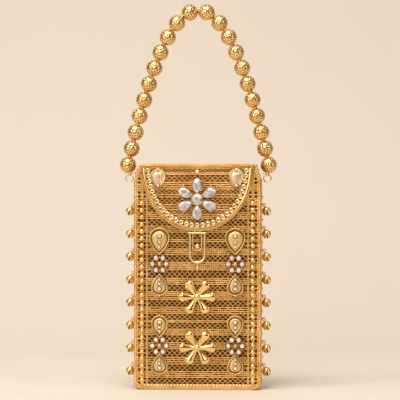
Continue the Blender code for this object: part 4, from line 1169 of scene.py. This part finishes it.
# %% Ornaments
ORNAMENT_X = 30.0 * MM
STONE_RING_R = 5.5 * MM
RING_STONE_R = 2.25 * MM
RING_OUT = 0.5 * MM
RING_WIRE_R = 0.5 * MM
SPOKE_R = 0.45 * MM
STAR_LONG = 2.5 * MM
STAR_SHORT = 1.3 * MM
STAR_WALL = 0.6 * MM
STAR_DOME = 1.2 * MM
DROP_STONE_OUT = 1.1 * MM
DROP_FULL_H = 16.0 * MM
TIP_R = 0.95 * MM
TIP_OUT = 0.8 * MM
TIP_GAP = 0.4 * MM
ORNAMENTS = {
    "upper": (99.5 * MM, 8.0 * MM, (17.2, 20.2), (13.6, 16.4)),
    "lower": (34.8 * MM, 7.0 * MM, (13.7, 16.8), (13.4, 15.0)),
}
DROP_STONES = [(0.20, 1.95), (-0.04, 1.6), (-0.23, 1.35)]


def build_ornament(x, z, reach, top_size, bottom_size):
    """The plates, the settings with the grooves' floors, both coloured dark as painted shade, and the stones.
    """
    angles = np.radians(60.0 * np.arange(6))
    ring = np.stack([x + STONE_RING_R * np.cos(angles), z + STONE_RING_R * np.sin(angles)], axis=1)
    face = PLATE_Y - RING_OUT
    bezels, stones = stone_set(ring, np.full(6, RING_STONE_R), face)
    star = round_section(1.0, 12) * np.tile([STAR_LONG, STAR_SHORT], 6)[:, None]
    metal_parts = [torus((x, face, z), (0.0, 1.0, 0.0), STONE_RING_R, RING_WIRE_R, 36, 8),
                   domed(star + np.array([x, z]), PLATE_Y, STAR_WALL, STAR_DOME, rings=4),
                   bars(np.tile([x, face, z], (6, 1)), in_plane(ring, face), SPOKE_R)]
    painted_shade_parts = [bezels]
    stone_parts = [stones]
    for (width, height), side in ((top_size, 1), (bottom_size, -1)):
        width, height = width * MM, height * MM
        centre = z + side * (reach + height / 2)
        plate, floor = drop_plate(x, centre, width, height, side < 0, PLATE_Y)
        places = [(x, centre + side * share * height) for share, _ in DROP_STONES]
        radii = np.array([radius for _, radius in DROP_STONES]) * MM * min(1.0, height / DROP_FULL_H)
        bezels, stones = stone_set(places, radii, PLATE_Y - DROP_STONE_OUT)
        tip = moved(ball(TIP_R, 12, 8), x, PLATE_Y - TIP_OUT, centre + side * (height / 2 + TIP_GAP))
        metal_parts += [plate, tip]
        painted_shade_parts += [floor, bezels]
        stone_parts.append(stones)
    return merge(*metal_parts), merge(*painted_shade_parts), merge(*stone_parts)


for height_word, (z, reach, top_size, bottom_size) in ORNAMENTS.items():
    for word, side in SIDES:
        plates, settings, stones = build_ornament(side * ORNAMENT_X, z, reach, top_size, bottom_size)
        name = f"ornament_{height_word}_{word}"
        add_piece(f"{name}_plates", plates, GOLD_PALE, "pouch", replaces=[name])
        # Painted shade: bezels and groove floors are coloured dark for the shade round stones and in grooves.
        add_piece(f"{name}_settings", settings, SETTING_PAINTED_SHADE, "pouch")
        add_piece(f"{name}_stones", stones, CRYSTAL_SMALL, "pouch", sharp=0.0)
print("ornaments:", 2 * len(ORNAMENTS))

# %% [markdown]
# ## Gold flowers
# Two flowers of polished metal sit on the middle of the front. A petal is thin at the hub and ends in a
# bulb, turned about its own axis and flattened. The hub is a ball.

# %% Gold flowers
PETAL_TIP = 14.7 * MM
PETAL_W = 7.6 * MM
PETAL_DEPTH = 3.4 * MM
HUB_R = 2.9 * MM
HUB_OUT = 0.3 * MM
PETAL_ANGLES = (0.0, 57.0, 123.0, 180.0, 237.0, 303.0)
BULB = 0.78
PETAL_START = 0.08


def petal():
    """Radius against reach s: w (0.17 + 0.33 (s / b)^2) up to the bulb at b, which then closes as an
    ellipse, w/2 sqrt(1 - ((s - b) / (1 - b))^2)."""
    s = np.concatenate([np.linspace(PETAL_START, BULB, 18),
                        BULB + (1 - BULB) * np.sin(np.linspace(PETAL_START, np.pi / 2, 12))])
    stem = 0.17 + 0.33 * (s / BULB) ** 2.0
    cap = 0.5 * np.sqrt(np.clip(1 - ((s - BULB) / (1 - BULB)) ** 2, 0.0, 1.0))
    radius = PETAL_W * np.where(s <= BULB, stem, cap)
    radius[[0, -1]] = 0.0
    points, quads, tris = turned(np.stack([radius, PETAL_TIP * s], axis=1), 24)
    return points * np.array([1.0, PETAL_DEPTH / PETAL_W, 1.0]), quads, tris


for name in ("gold_flower_upper", "gold_flower_lower"):
    low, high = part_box(name)
    z = (low.z + high.z) / 2
    one = moved(petal(), y=(low.y + high.y) / 2)
    petals = [spun(one, a - 90.0, 0.0, z) for a in PETAL_ANGLES]
    hub = moved(ball(HUB_R, 28, 18), 0.0, low.y + HUB_R - HUB_OUT, z)
    add_piece(f"{name}_cast", merge(*petals, hub), GOLD_POLISHED, "pouch",
              replaces=[name])
    print(name, "at", round(z / MM, 1), "mm")

# %% [markdown]
# ## Clasp
# A bar in the flap's eyes carries two U-shaped wires. The outer one grows thicker round its bend and
# ends in a small drop. It falls over a ball on the front, which stands on a waisted neck.

# %% Clasp
LOOP_HALF_W = 5.72 * MM
LOOP_BOTTOM_Z = 101.0 * MM
LOOP_WIRE_R = 0.78 * MM
LOOP_SWELL = 0.24
LOOP_SWELL_H = 7.0 * MM
INNER_HALF_W = 3.46 * MM
INNER_BOTTOM_Z = 110.3 * MM
INNER_WIRE_R = 0.5 * MM
BAR_R = 0.6 * MM
BAR_BALL_R = 0.85 * MM
DROP_PROFILE = [(0.0, 0.6), (0.5, 0.4), (0.75, -0.6), (0.45, -1.6), (0.55, -2.6), (1.15, -4.2),
                (1.2, -5.0), (0.8, -5.9), (0.3, -6.4), (0.0, -6.5)]


def u_line(half_width, bottom):
    """A U in the clasp's plane: down one side, round a half circle and up the other."""
    angle = np.linspace(0.0, np.pi, 32)
    arc = np.stack([half_width * np.cos(angle), bottom + half_width * (1 - np.sin(angle))], axis=1)
    line = np.concatenate([[(half_width, clasp[2])], arc, [(-half_width, clasp[2])]])
    return in_plane(even(line, 60), clasp[1])


outer = u_line(LOOP_HALF_W, LOOP_BOTTOM_Z)
low_share = np.clip((LOOP_BOTTOM_Z + LOOP_SWELL_H - outer[:, 2]) / LOOP_SWELL_H, 0.0, 1.0)
bar_ends = points_at([-LOOP_HALF_W - BAR_R, LOOP_HALF_W + BAR_R], clasp[1], clasp[2])
clasp_drop = turned(even(np.array(DROP_PROFILE) * MM, 40), 16)
clasp_parts = [sweep(outer, round_section(LOOP_WIRE_R, 12), scale=1.0 + LOOP_SWELL * low_share ** 1.5),
               sweep(u_line(INNER_HALF_W, INNER_BOTTOM_Z), round_section(INNER_WIRE_R, 10)),
               sweep(bar_ends, round_section(BAR_R, 14)), repeat(ball(BAR_BALL_R, 14, 9), bar_ends),
               aimed(clasp_drop, (0.0, clasp[1], LOOP_BOTTOM_Z), (0.0, 0.0, 1.0))]
add_piece("clasp_loop", merge(*clasp_parts), GOLD_CREAM, "hasp", replaces=["hasp_loop"])

stud_low, stud_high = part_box("ball_stud")
stud_z = (stud_low.z + stud_high.z) / 2
STUD_R = (stud_high.z - stud_low.z) / 2
neck = turned([(0.0, 0.0), (STUD_R, 0.0), (STUD_R * 0.95, 0.4 * MM), (STUD_R * 0.6, 0.7 * MM),
               (STUD_R * 0.5, 1.6 * MM), (0.0, 1.7 * MM)], 24)
stud_parts = [moved(ball(STUD_R, 28, 18), 0.0, stud_low.y + STUD_R, stud_z),
              aimed(neck, (0.0, stud_high.y, stud_z), (0.0, -1.0, 0.0))]
add_piece("clasp_ball", merge(*stud_parts), GOLD_POLISHED, "pouch",
          replaces=["ball_stud"])
print("clasp:", triangles["clasp_loop"], "triangles")

# %% [markdown]
# ## Handle
# Twenty-two balls touch each other on a wire that stands as an arch. The balls are covered with small
# round dents. Each dent is a shallow bowl cut into the sphere round a point of an even spiral, and is
# coloured darker towards its bottom, a painted shade in the pit. Each ball is turned by a seeded random angle
# so that no two look the same.

# %% Hammered balls
BEAD_COUNT = 22
BEAD_R = 6.5 * MM
DENTS = 110
DENT_ANGLE = 0.095
DENT_DEPTH = 0.55 * MM
DENT_SHADE = 1.6
BORE_RING_R = 0.8 * 1.9 * MM
BORE_RING_WIRE = 0.4 * MM
BORE_RING_REACH = 0.965


def spiral_points(count):
    """Points spread evenly on a unit sphere: heights in equal steps, turned by the golden angle."""
    i = np.arange(count) + 0.5
    z = 1 - 2 * i / count
    a = np.pi * (1 + 5 ** 0.5) * i
    r = np.sqrt(1 - z * z)
    return np.stack([r * np.cos(a), r * np.sin(a), z], axis=1)


def random_turn():
    """A random rotation, from the QR factors of a random matrix."""
    q, _ = np.linalg.qr(chance.normal(size=(3, 3)))
    return q


def dented_ball():
    """A ball with dents: near the closest dent each point sinks by depth (1 - (angle / size)^2)^0.8.
    Also gives that share, from 0 to 1, which later sets the painted shade in each dent."""
    points, quads, tris = turned(arc_profile(1.0, 64), 90)
    dents = spiral_points(DENTS) @ random_turn().T
    closest = np.arccos(np.clip((unit(points) @ dents.T).max(axis=1), -1.0, 1.0))
    sink = np.clip(1 - (closest / DENT_ANGLE) ** 2, 0.0, 1.0) ** 0.8
    return (points * (BEAD_R - DENT_DEPTH * sink)[:, None], quads, tris), sink


bead_boxes = [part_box(f"bead_{i + 1:02d}") for i in range(BEAD_COUNT)]
bead_centres = np.array([(np.array(low) + np.array(high)) / 2 for low, high in bead_boxes])
bead_axes = unit(np.gradient(bead_centres, axis=0))
for i, (centre, axis) in enumerate(zip(bead_centres, bead_axes)):
    dented, sink = dented_ball()
    bore_rings = [torus(centre + side * axis * BEAD_R * BORE_RING_REACH, axis, BORE_RING_R, BORE_RING_WIRE,
                        20, 8) for side in (-1, 1)]
    shape = merge(aimed(dented, centre, axis), *bore_rings)
    # Painted shade: each dent is coloured darker towards its bottom, by how deep it sinks there.
    painted_shade = np.concatenate([np.minimum(DENT_SHADE * sink, 1.0), np.zeros(len(shape[0]) - len(sink))])
    add_piece(f"handle_ball_{i + 1:02d}", shape, GOLD_HAMMERED, "handle",
              replaces=[f"bead_{i + 1:02d}"], sharp=60.0, painted_shade=painted_shade)
print("handle:", BEAD_COUNT, "balls of", triangles["handle_ball_01"], "triangles")

# %% Handle wire and rings
RING_R = 3.0 * MM
JUMP_WIRE_R = 0.42 * MM
END_LOOP_R = 1.15 * MM
END_WIRE_R = 0.4 * MM
STRING_R = 0.45 * MM

for word, _ in SIDES:
    low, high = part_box(f"ring_{word}")
    ring_centre = (np.array(low) + np.array(high)) / 2
    add_piece(f"jump_ring_{word}", torus(ring_centre, (0.0, 1.0, 0.0), RING_R, JUMP_WIRE_R, 44, 10),
              GOLD_POLISHED, f"ring_{word}", replaces=[f"ring_{word}"])

loop_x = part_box("handle_wire")[1].x - END_WIRE_R
loop_z = joint_at("handle_swing")[2]
loops = [torus((side * loop_x, 0.0, loop_z), (1.0, 0.0, 0.0), END_LOOP_R, END_WIRE_R, 28, 8)
         for side in (-1, 1)]
ends = points_at([-loop_x, loop_x], 0.0, loop_z + END_LOOP_R)
route = np.concatenate([ends[:1], bead_centres, ends[1:]])
add_piece("handle_string", merge(sweep(route, round_section(STRING_R, 8)), *loops), GOLD_POLISHED,
          "handle", replaces=["handle_wire"])
print("wire:", round(length_of(route) / MM, 1), "mm")

# %% [markdown]
# ## Bells
# Eight small bells hang down each side. A bell is a smooth ball with a neck and a loop, and a narrow
# slit across its lower end. The slit is a groove, made by sinking the points near one plane, with a dark
# line along its bottom, painted shade for the inside of the slit.

# %% Bells
BELL_R = 3.65 * MM
BELL_DROP = 5.3 * MM
BELL_REACH = 2.2 * MM
BELL_LOOP_R = 1.15 * MM
LOOP_WIRE = 0.36 * MM
SLIT_HALF_W = 0.7 * MM
SLIT_DEPTH = 0.7 * MM
SLIT_LINE_R = 0.36 * MM
SLIT_LINE_DEPTH = 0.25 * MM


def bell_body(drop):
    """A ball with a neck: the half circle below, then a smooth run up to the loop."""
    neck_top = drop - BELL_LOOP_R
    upper = [(0.0, neck_top), (0.75 * MM, neck_top), (0.85 * MM, neck_top - 0.25 * MM),
             (1.0 * MM, BELL_R * 0.99)]
    profile = np.concatenate([upper, arc_profile(BELL_R, 26, 22.0, 180.0)])
    points, quads, tris = turned(profile, 56)
    near = np.clip(1 - np.abs(points[:, 1]) / SLIT_HALF_W, 0.0, 1.0)
    depth = np.clip((-points[:, 2] / BELL_R + 0.05) * 4.0, 0.0, 1.0)
    sink = SLIT_DEPTH * near * depth / BELL_R
    return points * (1 - sink)[:, None], quads, tris


for joint in frame["joints"]:
    if not joint["name"].startswith("bell_"):
        continue
    name = joint["child"]
    pivot = np.array(joint["pos_m"])
    side = math.copysign(1.0, pivot[0])
    centre = pivot + np.array([side * BELL_REACH, 0.0, -BELL_DROP])
    shape = merge(aimed(bell_body(np.linalg.norm(pivot - centre)), centre, pivot - centre),
                  torus(pivot, (0.0, 1.0, 0.0), BELL_LOOP_R, LOOP_WIRE, 24, 8))
    add_piece(f"{name}_shell", shape, GOLD_POLISHED, name, replaces=[name])
    # Painted shade: a dark line along the groove's bottom stands for the shadow inside the slit.
    turn = np.radians(np.linspace(75.0, 285.0, 24))
    arc = (BELL_R - SLIT_LINE_DEPTH) * points_at(np.sin(turn), 0.0, np.cos(turn))
    line = aimed(sweep(arc, round_section(SLIT_LINE_R, 6)), centre, pivot - centre)
    add_piece(f"{name}_slit", line, DARK_PAINTED_SHADE, name)
print("bell:", triangles["bell_left_1_shell"], "triangles")

# %% [markdown]
# ## Solids that stay
# The folded side strip, the back sheet and the hinge pin have their true shape in the solid model, so
# they only get a finish.

# %% Finish for the solids
# The side strip gets the darker gold, a painted shade for its shadowed inside.
SOLID_FINISHES = (("side_band", GOLD_PAINTED_SHADE), ("back_panel", GOLD_WIRE), ("hinge_pin", GOLD_POLISHED))
for name, material in SOLID_FINISHES:
    node = frame["nodes"][name]
    if not node.material_slots:
        node.data.materials.append(material)
    for slot in node.material_slots:
        slot.material = material
print("solids with a finish:", len(SOLID_FINISHES))

# %% [markdown]
# ## Floor, wall and light
# The pouch stands on a pale cream surface that sweeps up into a wall, which is clear from behind. Soft
# lights stand above, at both sides and in front, and one more lights the wall. Reflections see a dim room
# with a dark band at eye level, which is what the polished metal darkens to.

# %% Floor and wall
SWEEP_START = 0.30
SWEEP_R = 0.35
STAGE_HALF_W = 2.2
STAGE_FRONT = -2.6
WALL_TOP = 2.4


def build_stage():
    """A profile of floor, quarter circle and wall, drawn out along X."""
    angle = np.linspace(0.0, np.pi / 2, 24)
    bend = np.stack([SWEEP_START + SWEEP_R * np.sin(angle), SWEEP_R * (1 - np.cos(angle))], axis=1)
    profile = np.concatenate([[(STAGE_FRONT, 0.0)], bend, [(SWEEP_START + SWEEP_R, WALL_TOP)]])
    left = points_at(-STAGE_HALF_W, profile[:, 0], profile[:, 1])
    right = left * np.array([-1.0, 1.0, 1.0])
    count = len(profile)
    here = np.arange(count - 1)
    quads = np.stack([here, here + count, here + count + 1, here + 1], axis=1)
    return np.concatenate([left, right]), quads


stage_points, stage_quads = build_stage()
stage_mesh = bpy.data.meshes.new("floor_and_wall")
stage_mesh.from_pydata(stage_points.tolist(), [], stage_quads.tolist())
stage_mesh.shade_smooth()
stage = bpy.data.objects.new("floor_and_wall", stage_mesh)
bpy.context.scene.collection.objects.link(stage)
cream = bpy.data.materials.new("cream_surface")
cream.use_nodes = True
cream_noise = add_node(cream, "ShaderNodeTexNoise", {"Scale": 1.3}).outputs["Fac"]
cream_colour = ramp(cream, cream_noise, (0.0, (0.73, 0.66, 0.59)), (1.0, (0.77, 0.70, 0.63)))
cream_shader = cream.node_tree.nodes["Principled BSDF"]
feed(cream, cream_shader, {"Roughness": 0.75, "Base Color": cream_colour})
either = add_node(cream, "ShaderNodeMixShader", {
    0: add_node(cream, "ShaderNodeNewGeometry").outputs["Backfacing"], 1: cream_shader.outputs["BSDF"],
    2: add_node(cream, "ShaderNodeBsdfTransparent").outputs["BSDF"]})
feed(cream, cream.node_tree.nodes["Material Output"], {"Surface": either.outputs["Shader"]})
stage_mesh.materials.append(cream)
print("stage:", len(stage_points), "points")


# %% Lights
def soft_light(name, place, target, size, energy, colour):
    """A rectangular light aimed at a point."""
    data = bpy.data.lights.new(name, "AREA")
    data.shape = "RECTANGLE"
    data.size, data.size_y = size
    data.energy = energy
    data.color = colour
    light = bpy.data.objects.new(name, data)
    bpy.context.scene.collection.objects.link(light)
    light.location = place
    w = np.array(place, float) - np.array(target, float)
    yaw = math.atan2(w[0], -w[1])
    tilt = math.acos(w[2] / np.linalg.norm(w))
    light.rotation_euler = (tilt, 0.0, yaw)


MIDDLE = (0.0, 0.0, 0.15)
soft_light("top_light", (-0.15, -0.40, 1.15), MIDDLE, (0.75, 0.45), 9.0, (1.0, 0.95, 0.88))
soft_light("left_light", (-1.1, -0.75, 0.55), MIDDLE, (0.35, 0.8), 3.6, (1.0, 0.93, 0.84))
soft_light("right_light", (1.2, -0.6, 0.5), MIDDLE, (0.35, 0.8), 2.2, (1.0, 0.92, 0.82))
soft_light("wall_light", (0.0, -0.5, 1.9), (0.0, 0.6, 0.45), (1.6, 0.5), 4.6, (1.0, 0.97, 0.89))
soft_light("front_light", (-0.35, -1.75, 0.75), MIDDLE, (1.1, 0.6), 7.6, (1.0, 0.94, 0.86))


CAMERA_CREAM = (1.5, 1.3, 1.1, 1.0)


def room(strength, *stops):
    """A room that only reflections see: its colour runs with height, from the floor's warm brown
    through a dark band at eye level to a lighter ceiling. The camera sees plain cream instead."""
    world = bpy.data.worlds.new("room")
    bpy.context.scene.world = world
    world.use_nodes = True
    place = add_node(world, "ShaderNodeTexCoord").outputs["Generated"]
    height = add_node(world, "ShaderNodeSeparateXYZ", {"Vector": place}).outputs["Z"]
    share = add_node(world, "ShaderNodeMapRange", {"Value": height, "From Min": -1.0}).outputs["Result"]
    seen = add_node(world, "ShaderNodeLightPath").outputs["Is Camera Ray"]
    feed(world, world.node_tree.nodes["Background"], {
        "Color": mixed(world, seen, ramp(world, share, *stops), CAMERA_CREAM), "Strength": strength})


room(0.5, (0.0, (0.60, 0.42, 0.25)), (0.42, (0.42, 0.27, 0.14)), (0.50, (0.10, 0.06, 0.03)),
     (0.62, (0.12, 0.08, 0.045)), (0.76, (0.85, 0.74, 0.60)), (1.0, (0.95, 0.88, 0.78)))
bpy.context.scene.view_settings.view_transform = "Standard"

# %% [markdown]
# ## Triangles
# The last cell prints the number of triangles in the new pieces, and the most in any one.

# %% Finish
print("triangles in new pieces:", sum(triangles.values()), "most in one:", max(triangles.values()))
